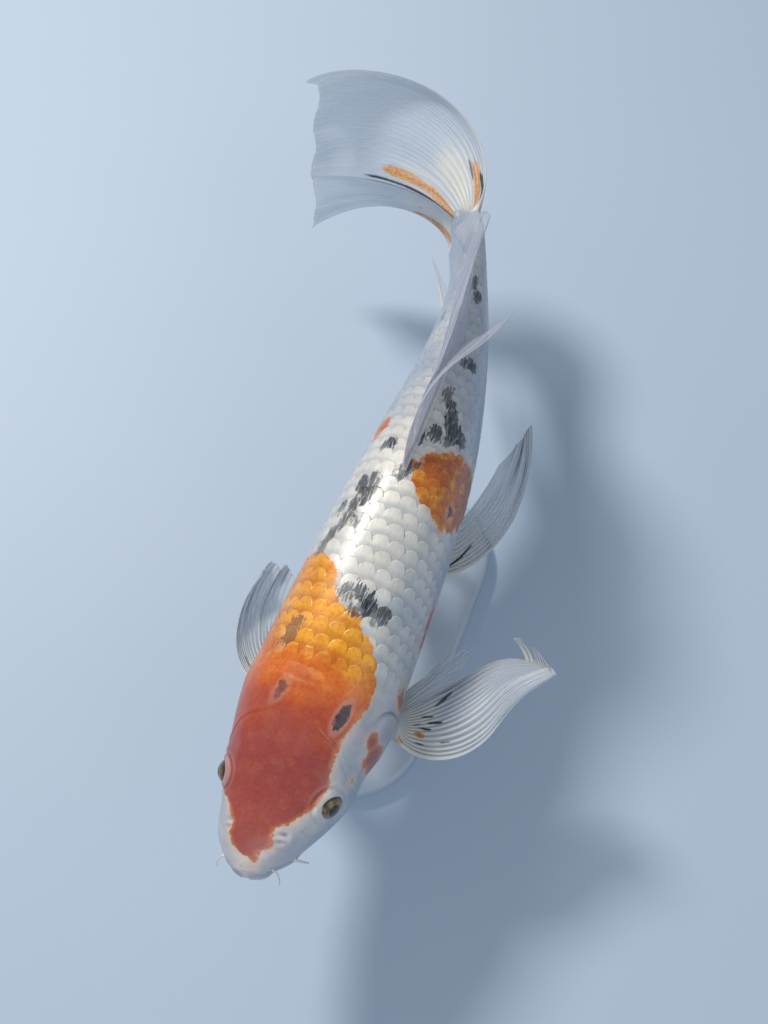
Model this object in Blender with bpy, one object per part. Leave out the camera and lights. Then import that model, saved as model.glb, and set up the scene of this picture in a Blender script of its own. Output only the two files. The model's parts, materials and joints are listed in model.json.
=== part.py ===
"""Long-finned (butterfly) koi carp: a still, life-size museum model on a plain display stand.

The fish swims towards -Y with its back up (+Z) and its left side towards +X. Its body is one lofted
form along a curved mid line, divided by thin cuts into head, lower jaw, gill covers, trunk and tail
stalk. Each fin is a thin closed sheet spanned by curved rays. Units are metres unless a name or a
comment says mm. The origin is the middle of the underside of the stand.
"""
import bpy
import bmesh
import numpy as np
from math import sin, cos, radians, pi, sqrt, exp
from mathutils import Vector, Matrix

for _ob in list(bpy.data.objects):
    bpy.data.objects.remove(_ob, do_unlink=True)

# ---------------------------------------------------------------- driving sizes
MM = 0.001
GAP = 0.0003                     # clear cut between neighbouring pieces
STANDARD_LENGTH = 0.405          # snout to the root of the tail fin
SPINE_Z = 0.125                  # height of the body's mid line over the floor
SNOUT = (-0.0650, -0.1655)       # tip of the snout in plan

# share of the length: heading of the mid line, degrees to the fish's left, looking tailwards
HEADING = [(0.0, 17.0), (0.1, 20.5), (0.2, 22.3), (0.30, 21.8), (0.42, 21.5), (0.55, 20.3),
           (0.68, 17.0), (0.80, 11.5), (0.90, 4.5), (1.0, -6.0)]
# share of the length: half width, height over and depth under the mid line, mm
GIRTH = [(0.00, 19.5, 12.0, 12.0), (0.025, 23.2, 15.2, 15.0), (0.05, 26.2, 18.8, 18.2),
         (0.10, 31.5, 26.0, 24.5), (0.15, 36.6, 33.0, 30.5), (0.20, 38.9, 39.0, 36.3),
         (0.25, 39.2, 43.8, 41.5), (0.30, 38.0, 47.5, 46.0), (0.40, 36.2, 52.0, 53.0),
         (0.50, 34.0, 52.5, 53.0), (0.60, 30.2, 46.5, 46.5), (0.70, 24.2, 37.5, 36.0),
         (0.80, 17.5, 29.0, 27.0), (0.90, 11.5, 23.5, 22.0), (1.00, 7.2, 23.0, 22.5)]
NOSE = 0.055                     # share of the length over which the snout is rounded
DROP = [(0.0, -6.0), (0.1, -3.5), (0.25, 0.0), (1.0, 0.0)]     # snout set lower, mm
ROLL = [(0.0, -9.0), (0.15, -9.0), (0.40, -2.0), (0.50, 0.0), (0.70, 0.0), (0.88, 6.0),
        (1.0, 18.0)]             # lean of the back to the left, degrees
FULLNESS = 2.25                  # section roundness: 2 is an ellipse

HEAD_END = 0.2065                # where the head's block meets the trunk, share of the length
TRUNK_SPLIT = 0.50
STALK_START = 0.78
BODY_END = 1.0

EYE_AT = (0.103, 62.0)           # share of the length, degrees down from the back
EYE_RADIUS = 0.0076
EYE_SUNK = 0.0043                # centre of the eyeball under the skin

GILL_AT = (0.198, 101.0)         # middle of the gill cover
GILL_HALF = (0.047, 43.0)        # half its length (share) and half its height (degrees)
GILL_THICK = 0.004

MOUTH_BACK = 0.021               # length of the lower jaw's gape
MOUTH_Z = -0.0085                # height of the gape at the snout, from the mid line

BASE_LENGTH, BASE_WIDTH, BASE_THICK = 0.210, 0.092, 0.012
BASE_TURN = 21.0                 # the base lies along the body
ROD_RADIUS = 0.004
ROD_SHARES = (0.33, 0.60)        # where the two rods meet the belly, share of the length


# ---------------------------------------------------------------- smooth curves through stations
def curve(table, column=1):
    """Smooth function through a table's rows, without overshoot between them."""
    xs = [row[0] for row in table]
    ys = [row[column] for row in table]
    n = len(xs)
    h = [xs[i + 1] - xs[i] for i in range(n - 1)]
    d = [(ys[i + 1] - ys[i]) / h[i] for i in range(n - 1)]
    m = [d[0]] + [0.0 if d[i - 1] * d[i] <= 0 else 2 * d[i - 1] * d[i] / (d[i - 1] + d[i])
                  for i in range(1, n - 1)] + [d[-1]]

    def value(x):
        x = min(max(x, xs[0]), xs[-1])
        i = 0
        while i < n - 2 and x > xs[i + 1]:
            i += 1
        t = (x - xs[i]) / h[i]
        return ((2 * t**3 - 3 * t**2 + 1) * ys[i] + (t**3 - 2 * t**2 + t) * h[i] * m[i]
                + (-2 * t**3 + 3 * t**2) * ys[i + 1] + (t**3 - t**2) * h[i] * m[i + 1])
    return value


heading, roll, drop = curve(HEADING), curve(ROLL), curve(DROP)
half_width, height, depth = curve(GIRTH, 1), curve(GIRTH, 2), curve(GIRTH, 3)

# ---------------------------------------------------------------- the body's form
STEPS = 400
_path = [np.array([SNOUT[0], SNOUT[1], SPINE_Z])]
for _i in range(STEPS):
    _a = radians(heading((_i + 0.5) / STEPS))
    _path.append(_path[-1] + np.array([sin(_a), cos(_a), 0.0]) * STANDARD_LENGTH / STEPS)
_path = np.array(_path)


def frame(f):
    """Mid point and the tailward, left and up directions at a share f of the length."""
    a = radians(heading(f))
    tail = np.array([sin(a), cos(a), 0.0])
    left = np.array([cos(a), -sin(a), 0.0])
    up = np.array([0.0, 0.0, 1.0])
    r = radians(roll(f))
    left, up = left * cos(r) - up * sin(r), up * cos(r) + left * sin(r)
    x = min(max(f, 0.0), 1.0) * STEPS
    i = min(int(x), STEPS - 1)
    p = _path[i] + (_path[i + 1] - _path[i]) * (x - i)
    if f < 0.0 or f > 1.0:
        p = p + tail * (f - min(max(f, 0.0), 1.0)) * STANDARD_LENGTH
    return p, tail, left, up


def bump(x, middle, width):
    return exp(-((x - middle) / width)**2)


def ramp(x, low, high):
    t = min(max((x - low) / (high - low), 0.0), 1.0)
    return t * t * (3 - 2 * t)


def form(f, a):
    """Point of the body's surface; a = 0 is the back, pi/2 the left side, pi the belly (radians)."""
    p, tail, left, up = frame(f)
    nose = sqrt(max(0.0, 1.0 - (1.0 - f / NOSE)**2)) if f < NOSE else 1.0
    s, c = sin(a), cos(a)
    power = 2.0 / FULLNESS
    x = half_width(f) * nose * (abs(s)**power) * (1 if s > 0 else -1)
    z = (height(f) if c > 0 else depth(f)) * nose * (abs(c)**power) * (1 if c > 0 else -1)
    side = abs(a)                                        # the same on both sides
    # brow over the eye, the lower cheek drawn in towards the jaw, more on the left, a slightly
    # hollow cheek before the gill cover, and the swell of the cover
    swell = (1.0 * bump(f, EYE_AT[0], 0.028) * bump(side, radians(EYE_AT[1]), 0.42)
             - 0.6 * bump(f, 0.145, 0.016) * bump(side, 1.75, 0.55)
             - 4.5 * ramp(f, 0.003, 0.020) * (1 - ramp(f, 0.045, 0.120))
             * bump(side, 1.8, 0.8) * (0.75 + 0.25 * s)
             - 2.2 * bump(f, 0.168, 0.030) * bump(side, 1.85, 0.5)
             + 0.9 * bump(f, 0.200, 0.035) * bump(side, 1.8, 0.65))
    x += swell * s - 4.5 * (1 - ramp(f, 0.0, 0.085))    # the snout turns a little to the right
    z += swell * c
    return p + (left * x + up * (z + drop(f))) * MM


def wrap(a):
    return (a + pi) % (2 * pi) - pi


def skin(f, degrees, offset=0.0):
    """Surface point, moved out by offset along the surface's normal."""
    a = wrap(radians(degrees))
    p = form(f, a)
    if offset:
        n = np.cross(form(f, wrap(a + 0.02)) - form(f, wrap(a - 0.02)),
                     form(min(f + 0.002, 1.0), a) - form(max(f - 0.002, 0.0005), a))
        size = np.linalg.norm(n)
        if size > 0:
            n = n / size
            if np.dot(n, p - frame(f)[0]) < 0:
                n = -n
            p = p + n * offset
    return p


# ---------------------------------------------------------------- materials
def material(name, colour, roughness, metallic=0.0, coat=0.0):
    m = bpy.data.materials.new(name)
    m.use_nodes = True
    shader = m.node_tree.nodes["Principled BSDF"]
    shader.inputs["Base Color"].default_value = (*colour, 1.0)
    shader.inputs["Roughness"].default_value = roughness
    shader.inputs["Metallic"].default_value = metallic
    shader.inputs["Coat Weight"].default_value = coat
    m.diffuse_color = (*colour, 1.0)
    return m


RED = material("head_orange_red", (0.75, 0.13, 0.04), 0.30, coat=0.5)
ORANGE = material("flank_orange", (0.86, 0.30, 0.04), 0.35, coat=0.5)
WHITE = material("skin_white", (0.80, 0.79, 0.76), 0.32, coat=0.5)
GREY = material("stalk_pale_grey", (0.60, 0.66, 0.72), 0.35, coat=0.5)
FIN = material("fin_membrane", (0.72, 0.74, 0.78), 0.40)
TAILFIN = material("tail_fin_membrane", (0.78, 0.72, 0.62), 0.40)
EYE = material("eye_gold", (0.35, 0.20, 0.04), 0.12, coat=1.0)
BARBEL = material("barbel_skin", (0.80, 0.62, 0.52), 0.40)
STAND = material("stand_satin_white", (0.70, 0.71, 0.72), 0.45)
STEEL = material("rod_steel", (0.62, 0.63, 0.65), 0.30, metallic=1.0)


# ---------------------------------------------------------------- mesh helpers
def solid(name, points, faces, mat, smooth=40.0):
    mesh = bpy.data.meshes.new(name)
    bm = bmesh.new()
    vs = [bm.verts.new(Vector(p)) for p in points]
    for face in faces:
        bm.faces.new([vs[i] for i in face])
    bmesh.ops.recalc_face_normals(bm, faces=bm.faces)
    bm.to_mesh(mesh)
    bm.free()
    mesh.materials.append(mat)
    mesh.shade_smooth()
    mesh.set_sharp_from_angle(angle=radians(smooth))
    ob = bpy.data.objects.new(name, mesh)
    bpy.context.scene.collection.objects.link(ob)
    return ob


def cutter(name, points, faces):
    ob = solid(name, points, faces, WHITE)
    ob.hide_render = True
    ob.display_type = 'WIRE'
    return ob


def boolean(ob, other, operation):
    mod = ob.modifiers.new(operation.lower() + "_" + other.name, 'BOOLEAN')
    mod.operation = operation
    mod.solver = 'EXACT'
    mod.object = other


def loft(name, shares, around, mat, nose=False):
    """A length of the body between the first and last share, with flat ends."""
    points, faces = [], []
    angles = [-180.0 + 360.0 * j / around for j in range(around)]
    for f in shares:
        points += [skin(f, a) for a in angles]
    for i in range(len(shares) - 1):
        for j in range(around):
            k = (j + 1) % around
            faces.append((i * around + j, i * around + k, (i + 1) * around + k, (i + 1) * around + j))
    for end, row in ((0, 0), (1, len(shares) - 1)):
        middle = len(points)
        p, tail, left, up = frame(shares[row])
        if end == 0 and nose:
            points.append(form(0.0, 0.0))
        else:
            points.append(p + up * drop(shares[row]) * MM)
        for j in range(around):
            faces.append((row * around + j, row * around + (j + 1) % around, middle))
    return solid(name, points, faces, mat)


def spread(start, end, count):
    return [start + (end - start) * i / (count - 1) for i in range(count)]


# ---------------------------------------------------------------- body, parted by thin cuts
half_gap = GAP / STANDARD_LENGTH / 2
NOSE_RINGS = [0.0009, 0.0035, 0.008, 0.0145, 0.023, 0.034]
AROUND = 32
head = loft("head", NOSE_RINGS + spread(0.047, HEAD_END - half_gap, 12), AROUND, RED, nose=True)
trunk_front = loft("trunk_front", spread(HEAD_END + half_gap, TRUNK_SPLIT - half_gap, 11), AROUND, WHITE)
trunk_rear = loft("trunk_rear", spread(TRUNK_SPLIT + half_gap, STALK_START - half_gap, 10), AROUND, WHITE)
stalk = loft("tail_stalk", spread(STALK_START + half_gap, BODY_END, 9), 28, GREY)


# gill covers: rounded plates laid in the surface of the head and the shoulder
def plate(name, side, grow, outer, inner, mat, cut=False):
    rings, around = 3, 26
    rim = GILL_HALF[0] * STANDARD_LENGTH
    points, faces = [], []
    for layer in (outer, inner):
        base = len(points)
        points.append(skin(GILL_AT[0], side * GILL_AT[1], layer))
        for r in range(1, rings + 1):
            for j in range(around):
                t = 2 * pi * j / around
                squarish = (abs(cos(t))**2.6 + abs(sin(t))**2.6)**(-1 / 2.6)
                size = (r / rings) * squarish * (1.0 + (grow / rim if r == rings else 0.0))
                f = GILL_AT[0] + GILL_HALF[0] * size * cos(t)
                # the plate narrows towards its rear edge
                taper = 1.0 - 0.16 * (1.0 + size * cos(t)) * 0.5
                a = GILL_AT[1] + GILL_HALF[1] * size * sin(t) * taper * (1.0 + grow / rim * 0.2)
                points.append(skin(f, side * a, layer))
        for j in range(around):
            faces.append((base, base + 1 + j, base + 1 + (j + 1) % around))
        for r in range(1, rings):
            for j in range(around):
                k = (j + 1) % around
                a0, b0 = base + 1 + (r - 1) * around, base + 1 + r * around
                faces.append((a0 + j, a0 + k, b0 + k, b0 + j))
    count = 1 + rings * around
    edge = 1 + (rings - 1) * around
    for j in range(around):
        k = (j + 1) % around
        faces.append((edge + j, edge + k, count + edge + k, count + edge + j))
    return cutter(name, points, faces) if cut else solid(name, points, faces, mat)


for side, word in ((1, "left"), (-1, "right")):
    plate("gill_cover_" + word, side, 0.0, 0.0006, -GILL_THICK, WHITE)
    seat = plate("cut_gill_" + word, side, 2.2 * GAP, 0.006, -GILL_THICK - 2 * GAP, WHITE, cut=True)
    boolean(head, seat, 'DIFFERENCE')
    boolean(trunk_front, seat, 'DIFFERENCE')


# lower jaw: the underside of the snout in front of the gape's corner
def block(name, grow, cut=True):
    p, tail, left, up = frame(0.02)
    lean = radians(-12.0)                               # the gape falls towards its corner
    back = tail * cos(lean) + up * sin(lean)
    rise = up * cos(lean) - tail * sin(lean)
    origin = frame(0.0)[0] + up * MOUTH_Z
    points = []
    for x in (-0.030 - grow, 0.030 + grow):
        for y in (-0.012 - grow, MOUTH_BACK + grow):
            for z in (-0.030 - grow, grow):
                points.append(origin + left * x + back * y + rise * z)
    faces = [(0, 1, 3, 2), (4, 6, 7, 5), (0, 4, 5, 1), (2, 3, 7, 6), (0, 2, 6, 4), (1, 5, 7, 3)]
    return cutter(name, points, faces)


jaw = loft("lower_jaw", NOSE_RINGS + spread(0.047, 0.085, 4), AROUND, WHITE, nose=True)
boolean(jaw, block("cut_jaw_keep", 0.0), 'INTERSECT')
boolean(head, block("cut_jaw_seat", GAP), 'DIFFERENCE')


# eyes: balls set in sockets
def ball(name, centre, radius, mat, segments=12, cut=False):
    mesh = bpy.data.meshes.new(name)
    bm = bmesh.new()
    bmesh.ops.create_uvsphere(bm, u_segments=segments, v_segments=8, radius=radius)
    bm.to_mesh(mesh)
    bm.free()
    mesh.materials.append(mat)
    mesh.shade_smooth()
    ob = bpy.data.objects.new(name, mesh)
    ob.location = Vector(centre)
    bpy.context.scene.collection.objects.link(ob)
    if cut:
        ob.hide_render = True
        ob.display_type = 'WIRE'
    return ob


for side, word in ((1, "left"), (-1, "right")):
    centre = skin(EYE_AT[0], side * EYE_AT[1], -EYE_SUNK)
    axis = Vector(skin(EYE_AT[0], side * EYE_AT[1]) - centre).normalized()
    turn = axis.to_track_quat('Z', 'Y')
    eye = ball("eye_" + word, centre, EYE_RADIUS, EYE)
    socket = ball("cut_eye_" + word, centre, EYE_RADIUS + GAP, EYE, cut=True)
    for ob in (eye, socket):
        ob.rotation_mode = 'QUATERNION'
        ob.rotation_quaternion = turn
    boolean(head, socket, 'DIFFERENCE')


# ---------------------------------------------------------------- barbels: tapering bent feelers
def feeler(name, f, degrees, length, thick, thin, az, el):
    p, tail, left, up = frame(f)
    side = 1 if degrees > 0 else -1
    point = skin(f, degrees, GAP + 0.0004)              # the foot stands just clear of the skin
    steps, around = 6, 6
    points, faces = [], []
    for i in range(steps + 1):
        t = i / steps
        a = radians(az[0] + (az[1] - az[0]) * t)
        e = radians(el[0] + (el[1] - el[0]) * t)
        way = tail * cos(e) * cos(a) + left * side * cos(e) * sin(a) + up * sin(e)
        if i:
            point = point + way * length / steps
        across = np.cross(way, up)
        across = across / np.linalg.norm(across)
        other = np.cross(across, way)
        r = (thick + (thin - thick) * t) / 2
        for j in range(around):
            b = 2 * pi * j / around
            points.append(point + (across * cos(b) + other * sin(b)) * r)
    for i in range(steps):
        for j in range(around):
            k = (j + 1) % around
            faces.append((i * around + j, i * around + k, (i + 1) * around + k, (i + 1) * around + j))
    faces.append(tuple(range(around)))
    faces.append(tuple(range(steps * around, steps * around + around)))
    return solid(name, points, faces, BARBEL, smooth=60.0)


for side, word in ((1, "left"), (-1, "right")):
    # the longer barbel hangs from the corner of the mouth, the shorter one from the upper lip
    feeler("barbel_long_" + word, 0.040, side * 104.0, 0.013, 0.0020, 0.0008, (88.0, 25.0), (-30.0, -70.0))
    feeler("barbel_short_" + word, 0.021, side * 84.0, 0.0065, 0.0014, 0.0007, (95.0, 60.0), (-25.0, -65.0))


# ---------------------------------------------------------------- fins
def direction(f, az, el):
    """Direction at share f: az degrees from tailwards to the fish's left, el degrees up."""
    a, e = radians(az), radians(el)
    h = radians(heading(f))
    tail = np.array([sin(h), cos(h), 0.0])
    left = np.array([cos(h), -sin(h), 0.0])
    return (tail * cos(a) + left * sin(a)) * cos(e) + np.array([0.0, 0.0, sin(e)])


def fin(name, rays, root, columns, rows, thick, mat, edge=0.0007, side=1, notch=None, shape=1.0):
    """A thin closed sheet. rays: share across the fin, length in mm, az at root and tip, el at root
    and tip, and bend: each ray turns evenly along its length at 1, mostly near its foot under 1.
    root(u) gives a ray's foot, its body share and the way out of the body."""
    size = {k: curve(rays, k) for k in range(1, 7)}
    grid = np.zeros((columns, rows + 1, 3))
    outward = np.zeros((columns, 3))
    for i in range(columns):
        u = i / (columns - 1)
        foot, f, outward[i] = root(u)
        length = size[1](u) * MM
        if notch:
            length *= 1.0 - notch[2] * bump(u, notch[0], notch[1])
        fine = 6
        p = np.array(foot)
        grid[i, 0] = p
        n = rows * fine
        for k in range(n):
            t = ((k + 0.5) / n)**size[6](u)
            az = size[2](u) + (size[3](u) - size[2](u)) * t
            el = size[4](u) + (size[5](u) - size[4](u)) * t
            p = p + direction(f, side * az, el) * length / n
            if (k + 1) % fine == 0:
                grid[i, (k + 1) // fine] = p
    du = np.gradient(grid, axis=0)
    dv = np.gradient(grid, axis=1)
    n = np.cross(du, dv)
    n /= np.maximum(np.linalg.norm(n, axis=2, keepdims=True), 1e-9)
    # the foot's thickness lies along the skin, so that it stands evenly clear of it
    n[:, 0] -= outward * np.sum(n[:, 0] * outward, axis=1, keepdims=True)
    n[:, 0] /= np.linalg.norm(n[:, 0], axis=1, keepdims=True)
    points, faces = [], []
    for face in (1.0, -1.0):
        for i in range(columns):
            for k in range(rows + 1):
                v = k / rows
                t = edge + (thick - edge) * exp(-v / (0.10 * shape)) + 0.0006 * (1 - v) * (1 - v)
                rim = min(i, columns - 1 - i) / (0.12 * (columns - 1))
                t *= 0.75 + 0.25 * min(1.0, rim)
                points.append(grid[i, k] + n[i, k] * face * max(t, 0.0006) / 2)
    count = columns * (rows + 1)

    def at(i, k, face):
        return face * count + i * (rows + 1) + k
    for i in range(columns - 1):
        for k in range(rows):
            faces.append((at(i, k, 0), at(i + 1, k, 0), at(i + 1, k + 1, 0), at(i, k + 1, 0)))
            faces.append((at(i, k, 1), at(i, k + 1, 1), at(i + 1, k + 1, 1), at(i + 1, k, 1)))
    for i in range(columns - 1):
        faces.append((at(i, 0, 0), at(i, 0, 1), at(i + 1, 0, 1), at(i + 1, 0, 0)))
        faces.append((at(i, rows, 0), at(i + 1, rows, 0), at(i + 1, rows, 1), at(i, rows, 1)))
    for k in range(rows):
        faces.append((at(0, k, 0), at(0, k + 1, 0), at(0, k + 1, 1), at(0, k, 1)))
        faces.append((at(columns - 1, k, 0), at(columns - 1, k, 1), at(columns - 1, k + 1, 1), at(columns - 1, k + 1, 0)))
    return solid(name, points, faces, mat, smooth=50.0)


def along(f0, a0, f1, a1, lift):
    """Feet along a line on the body from (share, degrees) to (share, degrees)."""
    def root(u):
        f, a = f0 + (f1 - f0) * u, a0 + (a1 - a0) * u
        out = skin(f, a, 0.001) - skin(f, a)
        return skin(f, a, lift), f, out / np.linalg.norm(out)
    return root


LIFT = 0.0006                    # the fin's foot stands just clear of the skin

# share across, length mm, az root, az tip, el root, el tip, bend
PECTORAL_LEFT = [(0.0, 106, 148, -2, -12, 18, 0.5), (0.22, 100, 128, 6, -8, 20, 0.5),
                 (0.42, 94, 114, 8, -5, 22, 0.5), (0.58, 78, 90, 18, -2, 14, 0.5),
                 (0.78, 45, 57, 18, 0, 4, 0.9), (0.88, 52, 37, 25, 2, 4, 1.0), (1.0, 45, 22, 34, 2, 2, 1.0)]
PECTORAL_RIGHT = [(0.0, 86, 110, -11, -30, -8, 0.5), (0.35, 98, 104, -5, -36, -12, 0.5),
                  (0.7, 104, 80, -2, -38, -20, 0.55), (1.0, 88, 48, 5, -36, -25, 0.8)]
PELVIC_LEFT = [(0.0, 130, 90, -25, -8, 8, 0.5), (0.33, 119, 79, -17, -7, 8, 0.5),
               (0.66, 104, 64, -6, -6, 7, 0.5), (1.0, 80, 47, 6, -6, 6, 0.5)]
PELVIC_RIGHT = [(0.0, 112, 30, -22, -26, 4, 0.7), (0.33, 104, 24, -16, -24, 4, 0.7),
                (0.66, 92, 18, -8, -22, 3, 0.7), (1.0, 72, 12, 0, -20, 3, 0.7)]
DORSAL = [(0.0, 120, -27, 32, 64, -28, 0.5), (0.10, 106, -23, 31, 60, -28, 0.55),
          (0.25, 62, -22, 42, 52, -22, 0.9), (0.40, 41, -30, 26, 50, 2, 1.0),
          (0.60, 38, -44, 22, 45, 5, 1.0), (0.80, 43, -44, 18, 38, 0, 1.0), (1.0, 60, -22, 18, 30, 0, 1.0)]
ANAL = [(0.0, 110, -12, -24, -24, 8, 1.0), (0.5, 86, -14, -16, -22, 6, 1.0), (1.0, 50, -16, -6, -20, 0, 1.0)]
# tail fin: share 0 is the top edge of the upper lobe, 1 the fold between the lobes
TAIL_UPPER = [(0.0, 187, 32, -141, 6, 20, 1.0), (0.25, 171, 25, -125, 5, 15, 1.1),
              (0.5, 154, 10, -127, 4, 12, 1.25), (0.75, 129, -5, -115, 2, 8, 1.2),
              (1.0, 109, -20, -92, 1, 1, 0.8)]
TAIL_LOWER = [(0.0, 109, -20, -92, -1, -1, 0.8), (0.5, 121, -13, -95, -12, -16, 1.0),
              (1.0, 127, -3, -108, -14, -24, 1.0)]

fin("pectoral_fin_left", PECTORAL_LEFT, along(0.236, 112, 0.275, 134, LIFT), 19, 7, 0.0030, FIN)
fin("pectoral_fin_right", PECTORAL_RIGHT, along(0.236, -112, 0.275, -134, LIFT), 11, 8, 0.0030, FIN, side=-1)
fin("pelvic_fin_left", PELVIC_LEFT, along(0.485, 148, 0.53, 160, LIFT), 9, 8, 0.0028, FIN)
fin("pelvic_fin_right", PELVIC_RIGHT, along(0.485, -148, 0.53, -160, LIFT), 9, 8, 0.0028, FIN, side=-1)
fin("dorsal_fin", DORSAL, along(0.515, 0, 0.855, 0, LIFT), 20, 7, 0.0034, FIN)
fin("anal_fin", ANAL, along(0.765, 180, 0.83, 180, LIFT), 9, 7, 0.0030, FIN)


def tail_root(top, bottom):
    def root(u):
        p, tail, left, up = frame(1.0)
        v = top + (bottom - top) * u
        return p + up * v + tail * 0.0005, 1.0, tail
    return root


fin("tail_fin_upper", TAIL_UPPER, tail_root(0.0210, 0.0006), 12, 13, 0.0080, TAILFIN, shape=0.8)
fin("tail_fin_lower", TAIL_LOWER, tail_root(-0.0006, -0.0210), 10, 10, 0.0080, TAILFIN, shape=0.8)


# ---------------------------------------------------------------- display stand
def slab():
    """A flat base with round ends, its top edge rounded."""
    radius = BASE_WIDTH / 2
    straight = BASE_LENGTH / 2 - radius
    outline = []
    for end in (1, -1):
        for i in range(13):
            t = radians(-90 + 180 * i / 12)
            outline.append((cos(t) * radius * end, straight * end + 0.0, sin(t) * radius * end))
    rings = [(0.0, 0.0), (0.0, BASE_THICK - 0.003), (0.0009, BASE_THICK - 0.0009), (0.003, BASE_THICK)]
    turn = radians(BASE_TURN)
    points, faces = [], []
    for inset, z in rings:
        for c, middle, s in outline:
            k = (radius - inset) / radius
            y, x = middle + c * k, -s * k
            points.append((x * cos(turn) + y * sin(turn), -x * sin(turn) + y * cos(turn), z))
    n = len(outline)
    for r in range(len(rings) - 1):
        for j in range(n):
            k = (j + 1) % n
            faces.append((r * n + j, r * n + k, (r + 1) * n + k, (r + 1) * n + j))
    faces.append(tuple(range(n)))
    faces.append(tuple(range((len(rings) - 1) * n, len(rings) * n)))
    return solid("stand_base", points, faces, STAND, smooth=30.0)


slab()
for share, word in zip(ROD_SHARES, ("front", "rear")):
    mid = frame(share)[0]
    top = min(skin(share + d, 180.0)[2] for d in (-0.01, 0.0, 0.01)) - GAP
    bottom = BASE_THICK + GAP
    mesh = bpy.data.meshes.new("stand_rod_" + word)
    bm = bmesh.new()
    bmesh.ops.create_cone(bm, cap_ends=True, segments=20, radius1=ROD_RADIUS, radius2=ROD_RADIUS,
                          depth=top - bottom)
    bm.to_mesh(mesh)
    bm.free()
    mesh.materials.append(STEEL)
    mesh.shade_smooth()
    mesh.set_sharp_from_angle(angle=radians(40.0))
    rod = bpy.data.objects.new("stand_rod_" + word, mesh)
    rod.location = Vector((mid[0], mid[1], (top + bottom) / 2))
    bpy.context.scene.collection.objects.link(rod)
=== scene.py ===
"""Looks of the long-finned (butterfly) koi carp on its display stand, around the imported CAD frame.

One continuous skin replaces the CAD's flesh nodes. Overlapping solid scales lie on it, the fins are
thin sheets with raised branching rays, and skin and scales carry the same markings, which are named
patches in body coordinates. Lengths are metres unless a name or a comment says mm.
"""
import json
from math import radians, degrees, pi, sin, cos, tan
import numpy as np
import bpy
import bmesh
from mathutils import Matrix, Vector

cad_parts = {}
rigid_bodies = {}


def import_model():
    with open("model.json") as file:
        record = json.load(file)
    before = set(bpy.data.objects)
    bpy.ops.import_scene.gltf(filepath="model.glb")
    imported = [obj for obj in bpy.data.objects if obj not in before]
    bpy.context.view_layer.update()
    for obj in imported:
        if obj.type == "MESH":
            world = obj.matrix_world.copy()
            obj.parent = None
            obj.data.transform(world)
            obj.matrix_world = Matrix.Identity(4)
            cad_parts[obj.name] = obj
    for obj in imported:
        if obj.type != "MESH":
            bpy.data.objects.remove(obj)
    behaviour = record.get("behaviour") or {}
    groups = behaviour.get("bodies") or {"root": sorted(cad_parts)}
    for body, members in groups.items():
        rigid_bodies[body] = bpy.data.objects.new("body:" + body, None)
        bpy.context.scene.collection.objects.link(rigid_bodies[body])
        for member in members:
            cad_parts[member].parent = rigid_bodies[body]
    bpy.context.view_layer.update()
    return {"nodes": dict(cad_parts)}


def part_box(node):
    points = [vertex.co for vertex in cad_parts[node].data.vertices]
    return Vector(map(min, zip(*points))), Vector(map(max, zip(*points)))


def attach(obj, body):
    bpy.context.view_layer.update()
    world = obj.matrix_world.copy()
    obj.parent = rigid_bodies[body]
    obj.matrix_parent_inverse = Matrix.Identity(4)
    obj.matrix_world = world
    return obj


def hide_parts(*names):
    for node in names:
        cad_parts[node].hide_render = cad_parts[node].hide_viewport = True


for _ob in list(bpy.data.objects):
    bpy.data.objects.remove(_ob, do_unlink=True)

frame_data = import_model()
nodes = frame_data["nodes"]

# ================================================================ the body's form, as in the CAD
# form section starts
MM = 0.001
STANDARD_LENGTH = 0.405
SPINE_Z = 0.125
SNOUT = (-0.0650, -0.1655)
HEADING = [(0.0, 17.0), (0.1, 20.5), (0.2, 22.3), (0.30, 21.8), (0.42, 21.5), (0.55, 20.3),
           (0.68, 17.0), (0.80, 11.5), (0.90, 4.5), (1.0, -6.0)]
GIRTH = [(0.00, 19.5, 12.0, 12.0), (0.025, 23.2, 15.2, 15.0), (0.05, 26.2, 18.8, 18.2),
         (0.10, 31.5, 26.0, 24.5), (0.15, 36.6, 33.0, 30.5), (0.20, 38.9, 39.0, 36.3),
         (0.25, 39.2, 43.8, 41.5), (0.30, 38.0, 47.5, 46.0), (0.40, 36.2, 52.0, 53.0),
         (0.50, 34.0, 52.5, 53.0), (0.60, 30.2, 46.5, 46.5), (0.70, 24.2, 37.5, 36.0),
         (0.80, 17.5, 29.0, 27.0), (0.90, 11.5, 23.5, 22.0), (1.00, 7.2, 23.0, 22.5)]
NOSE = 0.055
DROP = [(0.0, -6.0), (0.1, -3.5), (0.25, 0.0), (1.0, 0.0)]
ROLL = [(0.0, -9.0), (0.15, -9.0), (0.40, -2.0), (0.50, 0.0), (0.70, 0.0), (0.88, 6.0),
        (1.0, 18.0)]
FULLNESS = 2.25
EYE_AT = (0.103, 62.0)
EYE_RADIUS = 0.0076
EYE_SUNK = 0.0047
GILL_AT = (0.198, 101.0)
GILL_HALF = (0.047, 43.0)
MOUTH_BACK = 0.021
MOUTH_Z = -0.0085
BASE_LENGTH, BASE_WIDTH, BASE_THICK, BASE_TURN = 0.210, 0.092, 0.012, 21.0
ROD_RADIUS, ROD_SHARES = 0.004, (0.33, 0.60)


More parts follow.
